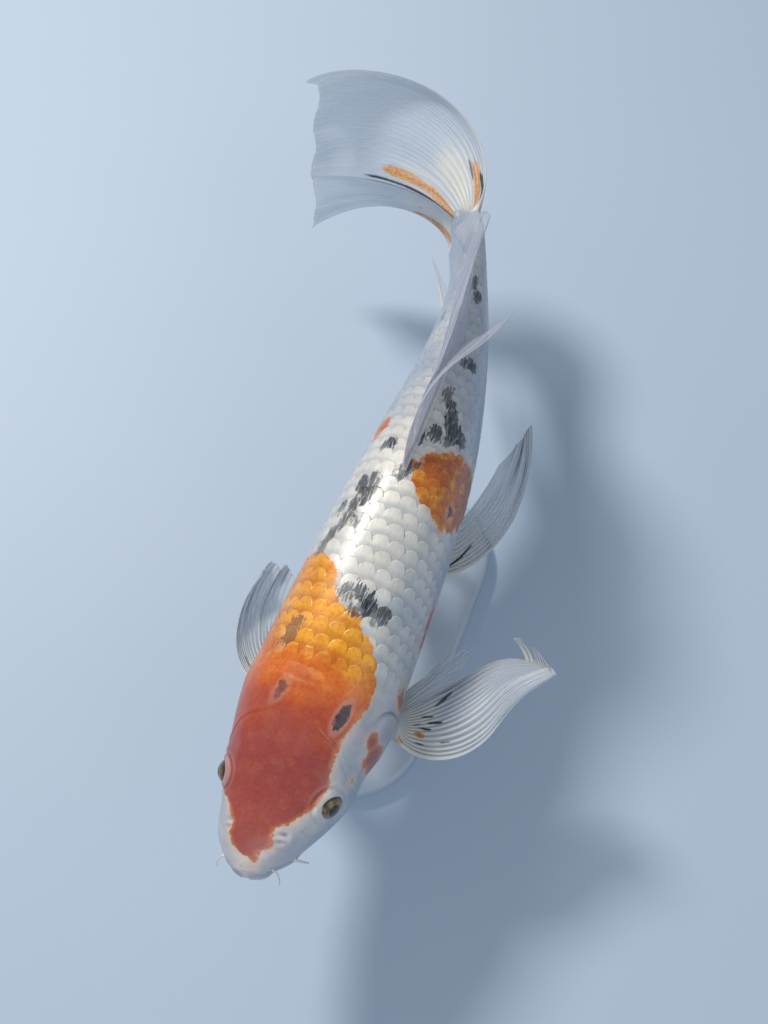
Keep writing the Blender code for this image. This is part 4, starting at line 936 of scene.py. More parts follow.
def make_scales():
    rng = np.random.default_rng(17)
    rows = [0.2200]
    while rows[-1] < 1.03:
        rows.append(rows[-1] + float(scale_pitch(rows[-1])) * MM / STANDARD_LENGTH)
    sites = []
    for i, f in enumerate(rows):
        odd = i % 2
        for j in range(COLUMNS + 1 - odd):
            w = (j + 0.5 * odd) / COLUMNS
            for side in ((1,) if (w == 0 or w == 1) else (1, -1)):
                sites.append((f, w * side, i, j))
    sites = np.array(sites)
    f0, w0 = sites[:, 0], sites[:, 1]
    a0 = angle_at(f0, w0)
    start = SCALES_FROM(np.degrees(np.abs(a0)))
    keep = f0 > start + 0.004
    P0 = form(f0, a0)
    for foot, reach in zip(fin_feet(), (5.5, 5.5, 3.0, 3.0, 0.0, 0.0)):
        if reach:
            keep &= foot_distance(P0, foot) > reach
    keep &= f0 + 0.0045 < end_at(a0)
    # a scale is free where none of the row before it lies over its root
    there = {(int(i), round(float(w) * COLUMNS * 2)) for (f, w, i, j), k in zip(sites, keep) if k}
    covered = np.array([sum((int(i) - 1, round(float(w) * COLUMNS * 2) + d) in there for d in (-1, 1)) / 2.0
                        for f, w, i, j in sites])
    covered = np.where(np.abs(np.abs(w0) - 0.5) > 0.499, 1.0, covered)
    covered = np.where(f0 < start + 0.012, 0.0, covered)
    f0, w0, a0, start, covered = f0[keep], w0[keep], a0[keep], start[keep], covered[keep]
    n = len(f0)
    width = half_girth(f0) / COLUMNS
    pitch = scale_pitch(f0)
    size = 1 + 0.07 * (rng.random(n) - 0.5)
    lift = 0.07 * (rng.random(n) - 0.5)
    skew = 0.12 * (rng.random(n) - 0.5)
    chance = rng.random(n)
    length = pitch * 2.0 * size
    broad = width * 1.40 * size
    # scales are small and half sunk in the skin where the coat begins and where it ends
    young = smooth(f0, start + 0.004, start + 0.034)
    late = 1 - smooth(f0, 0.985, 1.025)
    p = np.linspace(0, 1, ALONG + 1)
    p = 1 - (1 - p)**1.5
    q = np.linspace(-1, 1, ACROSS + 1)
    q = np.sign(q) * np.abs(q)**0.90
    PP, QQ = np.meshgrid(p, q, indexing="ij")
    # outline: rounded, widest behind its middle
    half = np.where(PP > 0.45, np.maximum(1 - ((PP - 0.45) / 0.565)**2.1, 0.0)**0.5, 1 - 0.30 * ((0.45 - PP) / 0.45)**2)
    X = PP[None] * length[:, None, None]
    Y = QQ[None] * half[None] * broad[:, None, None] / 2
    X = X + Y * skew[:, None, None]
    FF = f0[:, None, None] + (X - 0.42 * length[:, None, None]) * MM / STANDARD_LENGTH
    girth = half_girth(FF)
    WW = w0[:, None, None] + Y / girth
    # over the back or the belly a scale runs on to the other side
    AA = np.where(np.abs(WW) <= 1, angle_at(FF, WW), 0.0)
    past = np.abs(WW) > 1
    AA = np.where(past, -np.sign(WW) * angle_at(FF, 2 - np.abs(WW)) * 1.0, AA)
    AA = np.where(past, wrap(AA), AA)
    FF = np.minimum(FF, end_at(AA) - 0.0010)
    base = form(FF, AA)
    out = normal(FF, AA)
    fairing = np.zeros(FF.shape)
    for foot in fin_feet():
        fairing += foot[4] * bump(foot_distance(base, foot), 0.0, foot[5])
    grown = (0.42 + 0.58 * young * late)[:, None, None]
    top = (-0.60 + (0.32 * grown + lift[:, None, None]) * PP[None]**1.1
           - 0.12 * (QQ * half)[None]**2 * smooth(PP, 0.25, 0.7)[None])
    thick = 0.12 - 0.07 * smooth(PP, 0.6, 1.0)[None]
    top_points = base + out * ((top + fairing) * MM)[..., None]
    low_points = base + out * ((top + fairing - thick) * MM)[..., None]
    per = (ALONG + 1) * (ACROSS + 1)
    grid = np.arange(per).reshape(ALONG + 1, ACROSS + 1)
    face_top = np.stack([grid[:-1, :-1], grid[:-1, 1:], grid[1:, 1:], grid[1:, :-1]], -1).reshape(-1, 4)
    rim = np.concatenate([grid[0, :], grid[1:, -1], grid[-1, -2::-1], grid[-2:0:-1, 0]])
    rim_next = np.roll(rim, -1)
    face_low = face_top[:, ::-1] + per
    face_rim = np.stack([rim, rim + per, rim_next + per, rim_next], -1)
    faces = np.vstack([face_top, face_low, face_rim])
    # markings: part where each point lies, part the whole scale's, so that edges follow scales
    place_red, (place_ink, place_strength) = red_edge(FF, AA), ink_edge(FF, AA)
    fc = f0 + 0.30 * length * MM / STANDARD_LENGTH
    ac = angle_at(fc, w0)
    root_red = red_edge(fc, ac)[:, None, None]
    root_ink, root_strength = ink_edge(fc, ac)
    red = 0.65 * place_red + 0.35 * root_red
    ink = 0.72 * place_ink + 0.28 * root_ink[:, None, None]
    strength = place_strength * 0.6 + 0.4 * root_strength[:, None, None]
    body = np.stack([FF, AA / (2 * pi) + 0.5], -1)
    leaf = np.broadcast_to(np.stack([PP, (QQ + 1) / 2], -1)[None], body.shape)
    fan = (QQ * half)[None] / (0.30 + PP[None])
    grain = np.stack([fan * 7.0 + chance[:, None, None] * 31.0, PP[None] * 1.6 + chance[:, None, None] * 17.0], -1)
    lateral = (np.abs(np.abs(w0) - 0.47) < 0.26 / COLUMNS).astype(float)
    pieces = []
    left, ahead = w0 >= 0, f0 < HALFWAY
    for name, chosen, low_f, high_f in (("koi_scales_front_left", left & ahead, 0.215, HALFWAY + 0.02),
                                        ("koi_scales_front_right", ~left & ahead, 0.215, HALFWAY + 0.02),
                                        ("koi_scales_rear_left", left & ~ahead, HALFWAY - 0.01, 1.05),
                                        ("koi_scales_rear_right", ~left & ~ahead, HALFWAY - 0.01, 1.05)):
        k = np.nonzero(chosen)[0]
        m = len(k)
        # OFBake: each scale has its own cell at its root's place on its side's unwrap of the skin
        reach = high_f - low_f
        cell_u = pitch[k] * MM / STANDARD_LENGTH / reach * 0.93
        cell_v = 0.96 / (COLUMNS + 1)
        cu = 0.02 + 0.93 * (f0[k] - low_f) / reach
        cv = 0.02 + (np.abs(w0[k]) * COLUMNS + 0.5) / (COLUMNS + 1) * 0.96
        tops = np.stack([cu[:, None, None] + (0.02 + 0.80 * PP[None]) * cell_u[:, None, None] * 0.95,
                         cv[:, None, None] + QQ[None] * 0.46 * cell_v + 0 * PP[None]], -1)
        lows = np.stack([cu[:, None, None] + (0.86 + 0.07 * PP[None]) * cell_u[:, None, None] * 0.95,
                         cv[:, None, None] + QQ[None] * 0.46 * cell_v + 0 * PP[None]], -1)
        points = np.concatenate([top_points[k].reshape(m, per, 3), low_points[k].reshape(m, per, 3)], axis=1)
        quads = (faces[None] + (np.arange(m) * 2 * per)[:, None, None]).reshape(-1, 4)
        nn = np.cross(points[0, faces[20][1]] - points[0, faces[20][0]], points[0, faces[20][3]] - points[0, faces[20][0]])
        if np.dot(nn, out[k[0], 5, 4]) < 0:
            quads = quads[:, ::-1]

        def both(value):
            flat = value[k].reshape(m, per, -1)
            return np.concatenate([flat, flat], axis=1).reshape(m * 2 * per, -1)

        def whole(value):
            return both(np.broadcast_to(value[:, None, None], FF.shape))

        corner = quads.ravel()
        bake = np.concatenate([tops.reshape(m, per, 2), lows.reshape(m, per, 2)], axis=1).reshape(-1, 2)[corner]
        # the rim's faces take a sliver of the underside's place, not one across the cell
        which = np.tile(np.repeat(np.arange(len(faces)), 4), m)
        on_rim = which >= 2 * len(face_top)
        low_all = np.concatenate([lows.reshape(m, per, 2)] * 2, axis=1).reshape(-1, 2)[corner]
        is_top = (corner % (2 * per)) < per
        shift = np.where(is_top, 0.008, 0.0) * np.repeat(cell_u, len(faces) * 4)
        bake[on_rim] = low_all[on_rim] + np.stack([shift, shift * 0], -1)[on_rim]
        body_c = both(body)[corner]
        # a scale over the belly's seam keeps one run of the map
        b = body_c.reshape(-1, 4, 2)
        over = (b[:, :, 1].max(1) - b[:, :, 1].min(1)) > 0.5
        b[over, :, 1] = np.where(b[over, :, 1] < 0.5, b[over, :, 1] + 1, b[over, :, 1])
        ob = build(name, points.reshape(-1, 3), quads, SCALES,
                   {"OFBake": bake, "Body": b.reshape(-1, 2), "Leaf": both(leaf)[corner], "Grain": both(grain)[corner]},
                   {"red": both(red), "ink": both(ink), "ink_strength": both(strength),
                    "chance": whole(chance), "free": whole(covered), "lateral": whole(lateral)})
        pieces.append(ob)
    return pieces


skin_piece = make_skin()
scale_pieces = make_scales()
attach(skin_piece, "root")
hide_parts("head", "lower_jaw", "gill_cover_left", "gill_cover_right", "trunk_front", "trunk_rear", "tail_stalk")
for ob in scale_pieces:
    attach(ob, "root")


# ================================================================ eyes
def make_eye(name, side):
    centre = form(EYE_AT[0], side * radians(EYE_AT[1])) - normal(EYE_AT[0], side * radians(EYE_AT[1])) * EYE_SUNK
    axis = normal(EYE_AT[0], side * radians(EYE_AT[1]))
    # the ball looks a little further out, down and forwards than the skin round it faces
    _, tail, left, up = frame(EYE_AT[0])
    axis = axis / np.linalg.norm(axis) + left * side * 0.22 - up * 0.20 - tail * 0.06
    axis = axis / np.linalg.norm(axis)
    one = tail - axis * np.dot(tail, axis)
    one = one / np.linalg.norm(one)
    two = np.cross(axis, one)
    rows = np.concatenate([np.linspace(0.0, 1.15, 33)[1:], np.linspace(1.15, pi, 16)[1:-1]])
    count = 64
    turn = np.linspace(0, 2 * pi, count, endpoint=False)
    T, G = np.meshgrid(rows, turn, indexing="ij")
    r = EYE_RADIUS * (1 - 0.012 * bump(T, 0.40, 0.05) - 0.010 * bump(T, 0.80, 0.05) + 0.018 * np.exp(-(T / 0.42)**4))
    P = centre + (axis * np.cos(T)[..., None] + (one * np.cos(G)[..., None] + two * np.sin(G)[..., None]) * np.sin(T)[..., None]) * r[..., None]
    n = len(rows)
    points = np.vstack([P.reshape(-1, 3), centre + axis * EYE_RADIUS * 1.018, centre - axis * EYE_RADIUS])
    index = np.arange(n * count).reshape(n, count)
    nxt = np.roll(index, -1, axis=1)
    quads = np.stack([index[:-1], index[1:], nxt[1:], nxt[:-1]], -1).reshape(-1, 4)
    tris = np.vstack([np.stack([index[0], nxt[0], np.full(count, n * count)], -1),
                      np.stack([nxt[-1], index[-1], np.full(count, n * count + 1)], -1)])
    q = quads[0]
    nn = np.cross(points[q[1]] - points[q[0]], points[q[3]] - points[q[0]])
    if np.dot(nn, points[q[0]] - centre) < 0:
        quads, tris = quads[:, ::-1], tris[:, ::-1]
    corner = np.concatenate([quads.ravel(), tris.ravel()])
    t_all = np.append(T.ravel(), [0.0, pi])
    g_all = np.append(G.ravel(), [0.0, 0.0])
    iris = np.stack([t_all / 0.95, g_all / (2 * pi)], -1)[corner]
    spread_r = 0.47 * t_all / pi
    bake = np.stack([0.5 + spread_r * np.cos(g_all), 0.5 + spread_r * np.sin(g_all)], -1)
    bake = bake[corner]
    gap = np.concatenate([iris[:len(quads) * 4, 1].reshape(-1, 4)]) if len(quads) else None
    over = (gap.max(1) - gap.min(1)) > 0.5
    fixed = np.where(over[:, None] & (gap < 0.5), gap + 1, gap)
    iris[:len(quads) * 4, 1] = fixed.ravel()
    return build(name, points, quads, EYE, {"OFBake": bake, "Iris": iris}, None, tris)


for side, word in ((1, "left"), (-1, "right")):
    eye = make_eye("koi_eye_" + word, side)
    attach(eye, "root")
    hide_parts("eye_" + word)


# ================================================================ barbels
def make_barbel(name, f, deg, length, thick, thin, az, el):
    side = 1 if deg > 0 else -1
    steps, count = 30, 16
    p, tail, left, up = frame(f)
    n = normal(f, radians(deg))
    point = form(f, radians(deg)) - n * 0.0012
    rings, tips = [], []
    for i in range(-2, steps + 1):
        t = max(i, 0) / steps
        a, e = radians(az[0] + (az[1] - az[0]) * t), radians(el[0] + (el[1] - el[0]) * t)
        way = tail * cos(e) * cos(a) + left * side * cos(e) * sin(a) + up * sin(e)
        if i > -2:
            point = point + (way * length / steps if i > 0 else n * 0.0008)
        across = np.cross(way, up)
        across = across / np.linalg.norm(across)
        other = np.cross(across, way)
        r = (thick + (thin - thick) * t) / 2 * (1 + 0.35 * np.exp(-max(i, 0) / 2.0)) * (1 - 0.75 * smooth(t, 0.93, 1.0))
        g = np.linspace(0, 2 * pi, count, endpoint=False)
        rings.append(point + (across * np.cos(g)[:, None] + other * np.sin(g)[:, None]) * r)
        tips.append(np.full(count, t))
    P = np.array(rings)
    m = len(rings)
    points = np.vstack([P.reshape(-1, 3), P[0].mean(0), P[-1].mean(0) + way * 0.0002])
    index = np.arange(m * count).reshape(m, count)
    nxt = np.roll(index, -1, axis=1)
    quads = np.stack([index[:-1], nxt[:-1], nxt[1:], index[1:]], -1).reshape(-1, 4)
    tris = np.vstack([np.stack([nxt[0], index[0], np.full(count, m * count)], -1),
                      np.stack([index[-1], nxt[-1], np.full(count, m * count + 1)], -1)])
    q = quads[5 * count]
    nn = np.cross(points[q[1]] - points[q[0]], points[q[3]] - points[q[0]])
    if np.dot(nn, points[q[0]] - P[5].mean(0)) < 0:
        quads, tris = quads[:, ::-1], tris[:, ::-1]
    tip = np.append(np.array(tips).ravel(), [0.0, 1.0])
    corner = np.concatenate([quads.ravel(), tris.ravel()])
    column = np.tile(np.arange(count), m)
    row = np.repeat(np.arange(m), count)
    uu = np.append(0.03 + 0.9 * column / count, [0.5, 0.5])
    vv = np.append(0.05 + 0.85 * row / (m - 1), [0.01, 0.97])
    bake = np.stack([uu[corner], vv[corner]], -1)
    k = len(quads) * 4
    face = bake[:k, 0].reshape(-1, 4)
    over = (face.max(1) - face.min(1)) > 0.5
    bake[:k, 0] = np.where(over[:, None] & (face < 0.2), face + 0.9, face).ravel()
    return build(name, points, quads, BARBEL, {"OFBake": bake}, {"tip": tip}, tris)


for side, word in ((1, "left"), (-1, "right")):
    for kind, row in (("long", (0.037, 108.0, 0.0150, 0.0018, 0.0006, (84.0, 20.0), (-56.0, -84.0))),
                      ("short", (0.016, 88.0, 0.0105, 0.0012, 0.0004, (96.0, 200.0), (-34.0, -52.0)))):
        name = f"barbel_{kind}_{word}"
        ob = make_barbel("koi_" + name, row[0], side * row[1], *row[2:])
        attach(ob, "root")
        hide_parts(name)


# ================================================================ fins
# share across, length mm, az root, az tip, el root, el tip, bend
# the left pectoral's rays swing out again to one long pointed tip: a last column, degrees
PECTORAL_LEFT = [(0.0, 108, 147, -39, -12, 18, 0.66, 74), (0.10, 102, 130, -27, -10, 20, 0.67, 68),
                 (0.25, 93, 94, -8, -6, 21, 0.74, 60), (0.42, 87, 66, 16, -3, 18, 0.76, 57),
                 (0.60, 88, 40, 34, -2, 14, 0.85, 60), (0.615, 86, 39, 35, -2, 14, 0.9, 58),
                 (0.64, 34, 37, 46, -1, 8, 1.1, 10), (0.70, 38, 33, 46, -1, 8, 1.2, 0),
                 (0.80, 54, 22, 33, 0, 4, 0.8, 0), (0.90, 44, 18, 32, 2, 4, 1.2, -8),
                 (1.0, 35, 8, 70, 2, 2, 1.5, -40)]
PECTORAL_RIGHT = [(0.0, 86, 110, -11, -30, -8, 0.5), (0.35, 98, 104, -5, -36, -12, 0.5),
                  (0.7, 104, 80, -2, -38, -20, 0.55), (1.0, 88, 48, 5, -36, -25, 0.8)]
PELVIC_LEFT = [(0.0, 130, 90, -25, -8, 8, 0.5), (0.33, 119, 79, -17, -7, 8, 0.5),
               (0.66, 104, 64, -6, -6, 7, 0.5), (1.0, 80, 47, 6, -6, 6, 0.5)]
PELVIC_RIGHT = [(0.0, 112, 30, -22, -26, 4, 0.7), (0.33, 104, 24, -16, -24, 4, 0.7),
                (0.66, 92, 18, -8, -22, 3, 0.7), (1.0, 72, 12, 0, -20, 3, 0.7)]
# the dorsal's front rays run out to a streamer on the left, the rest lie back along the stalk
DORSAL_RAYS = [(0.0, 117, -21, 62, 53, -26, 0.82, -54), (0.018, 107, -18, 61, 52, -26, 0.92, -47),
               (0.034, 99, -19, 58, 51, -26, 0.97, -39), (0.050, 87, -16, 46, 49, -26, 1.04, -20),
               (0.075, 73, -9, 30, 47, -27, 1.50, -2), (0.105, 118, 3, -8, 41, -30, 1.6, 0),
               (0.14, 148, -1, -4, 37, -31, 1.45, 0), (0.20, 144, -4, -3, 32, -28, 1.38, 0),
               (0.30, 131, -5, -4, 28, -26, 1.5, 0), (0.45, 116, -4, -7, 23, -22, 1.4, 0),
               (0.60, 103, -2, -11, 19, -18, 1.0, 0), (0.80, 74, 0, -18, 14, -13, 0.8, 0),
               (1.0, 39, 3, -38, 9, -7, 0.75, 0)]
ANAL = [(0.0, 110, -12, -24, -24, 8, 1.0), (0.5, 86, -14, -16, -22, 6, 1.0), (1.0, 50, -16, -6, -20, 0, 1.0)]
TAIL_UPPER = [(0.0, 186, 32.5, -141, 6, 20, 1.0), (0.25, 171, 25, -125, 5, 15, 1.1),
              (0.5, 154, 10, -127, 4, 12, 1.25), (0.75, 129, -5, -115, 2, 8, 1.2),
              (1.0, 109, -20, -92, 0, 0, 0.8)]
TAIL_LOWER = [(0.0, 109, -20, -92, 0, 0, 0.8), (0.5, 121, -13, -95, -12, -16, 1.0),
              (1.0, 127, -3, -108, -14, -24, 1.0)]


def along_body(f0, a0, f1, a1):
    def root(u):
        f, a = f0 + (f1 - f0) * u, np.radians(a0 + (a1 - a0) * u)
        n = normal(f, a)
        return form(f, a) + n * 0.0006, f, n
    return root


def along_tail(top, bottom):
    def root(u):
        p, tail, left, up = frame(np.ones_like(u))
        v = top + (bottom - top) * u
        return p + up * v[:, None] + tail * 0.0005, np.ones_like(u), tail
    return root


def make_fin(name, rays, root, count, rows, mat, thick, side=1, spread=0.10, seed=1, pleat=0.30, wave=0.8,
             rag=0.010, sharp=0.40, sink_in=0.0025, streaks=(), reds=(), creams=(), first=1.0, fork=(0.42, 0.72),
             fleshy=0.10, edge=((0.0, 1.0), (1.0, 1.0)), tears=(), per=12, still=None):
    """A thin closed sheet with soft raised rays that branch twice. Markings run along the rays:
    (share across, share out, share across, share out, half width, strength)."""
    rng = np.random.default_rng(seed)
    columns = count * per + 1
    u = np.linspace(0, 1, columns)
    foot, f, out = root(u)
    get = {k: curve(rays, k) for k in range(1, len(rays[0]))}
    length = get[1](u) * MM * curve(edge)(u)
    cell = u * count
    ray_no = np.minimum(cell.astype(int), count - 1)
    c = cell - ray_no - 0.5                              # -0.5..0.5 across one ray's cell
    # margin: nearly smooth, the rays reaching a hair further than the membrane between them
    tips = 1 - 0.9 * rag * rng.random(2 * count + 1)
    length = length * np.interp(2 * cell, np.arange(2 * count + 1), tips)
    length = length * (1 - rag * (np.abs(c) * 2)**2.0)
    for at, deep, half in tears:
        length = length * (1 - deep * np.exp(-np.abs((u - at) / half)**1.5))
    fine = 120
    t = ((np.arange(fine) + 0.5) / fine)[None, :]**get[6](u)[:, None]
    az = get[2](u)[:, None] + (get[3](u) - get[2](u))[:, None] * t
    if 7 in get:                                         # the outer part swings round once more
        az = az + get[7](u)[:, None] * smooth((np.arange(fine) + 0.5) / fine, 0.55, 1.0)[None, :]
    el = get[4](u)[:, None] + (get[5](u) - get[4](u))[:, None] * t
    way = direction(f[:, None], side * az, el)
    path = np.concatenate([np.zeros((columns, 1, 3)), np.cumsum(way * (length / fine)[:, None, None], axis=1)], axis=1)
    v = np.linspace(0, 1, rows + 1)**0.92
    x = v * fine
    i = np.minimum(x.astype(int), fine - 1)
    s = (x - i)[None, :, None]
    grid = foot[:, None, :] + path[:, i] * (1 - s) + path[:, i + 1] * s
    # the foot goes on into the body
    inner = 4
    lead = np.linspace(1, 0, inner, endpoint=False)
    into = foot[:, None, :] - out.reshape(-1, 1, 3) * (sink_in * lead)[None, :, None]
    grid = np.concatenate([into, grid], axis=1)
    v = np.concatenate([-0.01 * lead, v])
    V = np.broadcast_to(np.maximum(v, 0)[None, :], grid.shape[:2])
    du, dv = np.gradient(grid, axis=0), np.gradient(grid, axis=1)
    n = np.cross(du, dv)
    n = n / np.maximum(np.linalg.norm(n, axis=2, keepdims=True), 1e-9)
    flat = n[:, :inner + 1] - out.reshape(-1, 1, 3) * np.sum(n[:, :inner + 1] * out.reshape(-1, 1, 3), axis=2, keepdims=True)
    n[:, :inner + 1] = flat / np.maximum(np.linalg.norm(flat, axis=2, keepdims=True), 1e-9)
    # rays: one soft stem, then two, then four branches in each cell
    C = c[:, None]
    split = fork[0] + 0.10 * (rng.random(count) - 0.5)[ray_no][:, None]
    again = fork[1] + 0.08 * (rng.random(count) - 0.5)[ray_no][:, None]
    one = 0.240 * smooth(V, split, split + 0.30)
    two = 0.118 * smooth(V, again, again + 0.28)
    wide = 0.33 - 0.16 * smooth(V, 0.05, split + 0.20) - 0.045 * smooth(V, again, 1.0)
    stem = np.zeros(V.shape)
    for b in (-1, 1):
        for b2 in (-1, 1):
            stem = np.maximum(stem, np.exp(-np.abs((C - b * one - b2 * two) / wide)**2.6))
    stem = np.where((ray_no[:, None] == 0) & (C < 0), np.maximum(stem, np.exp(-((C + 0.42) / 0.34)**2) * first), stem)
    bulk = (0.58 * (1 - V)**1.3 + 0.10) * sharp / 0.55
    rim = np.minimum(1.0, np.minimum(u, 1 - u) / 0.02)[:, None]
    t = (0.10 + bulk * stem) * (0.7 + 0.3 * rim)
    base_t = (thick / MM / 2) * np.exp(-V / spread)
    t = np.sqrt(t**2 + base_t**2)
    tip = smooth(V, 0.97, 1.0)
    t = np.maximum(t * (1 - 0.5 * tip), 0.06) * MM
    # pleats between the rays and slow waves towards the margin
    grow = smooth(V, 0.04, 0.7)
    fold = pleat * np.cos(2 * pi * cell)[:, None] * grow * (0.6 + 0.4 * np.sin(3.0 * V + seed))
    slow = wave * (np.sin(2 * pi * (1.3 * V + 2.1 * u[:, None] + 0.13 * seed)) * 0.6
                   + np.sin(2 * pi * (0.6 * V - 3.3 * u[:, None] + 0.37 * seed)) * 0.5) * smooth(V, 0.15, 1.0)
    if still is not None:                                # the edge shared with the next lobe lies flat
        calm = smooth(np.abs(u - still), 0.0, 0.16)[:, None]
        fold, slow = fold * calm, slow * calm
    grid = grid + n * ((fold + slow) * MM)[..., None]
    near, far = grid + n * t[..., None], grid - n * t[..., None]
    R = grid.shape[1]
    points = np.concatenate([near.reshape(-1, 3), far.reshape(-1, 3)])
    index = np.arange(columns * R).reshape(columns, R)
    total = columns * R
    a = np.stack([index[:-1, :-1], index[1:, :-1], index[1:, 1:], index[:-1, 1:]], -1).reshape(-1, 4)
    b = a[:, ::-1] + total
    rim_i = np.concatenate([index[:, 0], index[-1, 1:], index[-2::-1, -1], index[0, -2:0:-1]])
    rim_n = np.roll(rim_i, -1)
    r = np.stack([rim_i, rim_i + total, rim_n + total, rim_n], -1)
    q = a[len(a) // 2]
    nn = np.cross(points[q[1]] - points[q[0]], points[q[3]] - points[q[0]])
    if np.dot(nn, n.reshape(-1, 3)[q[0]]) < 0:
        a, b = a[:, ::-1], b[:, ::-1]
    q = r[0]
    nn = np.cross(points[q[1]] - points[q[0]], points[q[3]] - points[q[0]])
    if np.dot(nn, grid[0, 0] - grid[0, 1]) < 0:
        r = r[:, ::-1]
    quads = np.vstack([a, b, r])
    U = np.broadcast_to(u[:, None], V.shape)
    red, ink, cream = np.zeros(V.shape), np.zeros(V.shape), np.zeros(V.shape)
    for field, table in ((ink, streaks), (red, reds), (cream, creams)):
        for (u0, v0, u1, v1, half, strong) in table:
            share = np.clip((V - v0) / (v1 - v0), 0, 1)
            ends = smooth(V, v0 - 0.02, v0 + 0.03) * (1 - smooth(V, v1 - 0.25 * (v1 - v0), v1 + 0.01))
            width = half * (0.55 + 0.45 * np.sin(pi * np.clip(share * 0.85 + 0.1, 0, 1)))
            np.maximum(field, strong * ends * np.exp(-((U - u0 - (u1 - u0) * share) / width)**2), out=field)
    fields = {"ray": np.tile(stem.ravel(), 2), "ink": np.tile(ink.ravel(), 2), "red": np.tile(red.ravel(), 2),
              "cream": np.tile(cream.ravel(), 2), "root": np.tile(np.exp(-(V / fleshy)**1.6).ravel(), 2)}
    corner = quads.ravel()
    uu, vv = np.tile(U.ravel(), 2), np.tile(np.broadcast_to(v[None, :], V.shape).ravel(), 2)
    ray_uv = np.stack([uu[corner], vv[corner]], -1)
    half_of = (corner >= total).astype(float)
    bake = np.stack([0.01 + 0.48 * uu[corner] + 0.50 * half_of, 0.03 + 0.94 * (vv[corner] + 0.01) / 1.01], -1)
    k = (len(a) + len(b)) * 4
    m = len(r)
    place = np.linspace(0.01, 0.99, m)
    bake[k:] = np.stack([np.stack([place, place, place + 0.9 / m, place + 0.9 / m], -1).ravel(),
                         np.tile([0.004, 0.016, 0.016, 0.004], m)], -1)
    return build(name, points, quads, mat, {"OFBake": bake, "Ray": ray_uv}, fields)


def place_fin(ob, node_name):
    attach(ob, "root")
    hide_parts(node_name)


place_fin(make_fin("koi_pectoral_fin_left", PECTORAL_LEFT, along_body(0.236, 112, 0.275, 134), 24, 90, FIN, 0.0044,
                   seed=3, pleat=0.10, wave=0.5, rag=0.010, sharp=0.13, per=10,
                   streaks=[(0.49, 0.26, 0.55, 0.41, 0.022, 1.0), (0.435, 0.16, 0.395, 0.25, 0.016, 0.95),
                            (0.345, 0.19, 0.305, 0.30, 0.020, 0.95), (0.325, 0.10, 0.345, 0.16, 0.014, 0.9),
                            (0.295, 0.14, 0.262, 0.22, 0.016, 0.95), (0.13, 0.12, 0.13, 0.19, 0.012, 0.8),
                            (0.155, 0.25, 0.150, 0.33, 0.010, 0.7), (0.62, 0.30, 0.60, 0.36, 0.008, 0.6)],
                   reds=[(0.235, 0.11, 0.20, 0.18, 0.036, 1.0), (0.02, 0.01, 0.02, 0.08, 0.04, 0.9)],
                   creams=[(0.30, 0.0, 0.30, 0.30, 0.35, 0.45)],
                   edge=[(0.0, 1.0), (0.76, 1.0), (0.78, 1.02), (0.80, 1.10), (0.82, 0.92), (0.845, 1.08), (0.875, 0.86),
                         (0.90, 1.10), (0.93, 0.90), (0.965, 0.98), (1.0, 0.90)]), "pectoral_fin_left")


def curled_tip():
    """Root line of the curled flap: along the end of the left pectoral's rear long ray to its tip."""
    root = along_body(0.236, 112, 0.275, 134)

    def ray(share):
        foot, f, out = root(np.full(1, share))
        get = {k: float(curve(PECTORAL_LEFT, k)(share)) for k in range(1, 8)}
        x = (np.arange(200) + 0.5) / 200
        t = x**get[6]
        az = get[2] + (get[3] - get[2]) * t + get[7] * smooth(x, 0.55, 1.0)
        way = direction(np.full(200, f[0]), az, get[4] + (get[5] - get[4]) * t)
        return foot + np.concatenate([np.zeros((1, 3)), np.cumsum(way * (get[1] * MM / 200), axis=0)]), way, f[0]

    rear, way, f = ray(0.60)
    front, _, _ = ray(0.0)

    def line(u):
        at = np.clip(np.interp(u, [0.0, 0.24, 0.46, 1.0], [0.905, 0.965, 0.985, 0.985]) * 199, 0, 198.9)
        i = at.astype(int)
        point = rear[i] + (rear[i + 1] - rear[i]) * (at - i)[:, None]
        on = np.clip((u - 0.46) / 0.54, 0, 1)[:, None]
        return point + (front[194] - rear[196]) * on, np.full_like(u, f), way[i]
    return line


curl = make_fin("koi_pectoral_fin_left_tip", [(0.0, 15, -36, -80, 24, 40, 0.9), (0.20, 16.5, -34, -78, 24, 40, 0.9),
                                              (0.26, 9.0, -34, -70, 20, 30, 0.9), (0.32, 2.5, -34, -60, 20, 30, 0.9),
                                              (0.44, 3.0, -34, -60, 20, 30, 0.9), (0.50, 10.5, -30, -66, 24, 34, 0.9),
                                              (0.62, 12.5, -28, -70, 24, 34, 0.9), (0.80, 12.5, -22, -74, 24, 34, 0.9),
                                              (0.92, 10.5, -16, -78, 22, 32, 0.9), (1.0, 7.0, -12, -80, 22, 30, 0.9)],
                curled_tip(), 9, 30, FIN, 0.0006, seed=23, pleat=0.03, wave=0.1, rag=0.006, sharp=0.05, sink_in=0.0006,
                creams=[(0.5, 0.0, 0.5, 1.2, 1.6, 0.42)],
                fleshy=0.02)
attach(curl, "root")
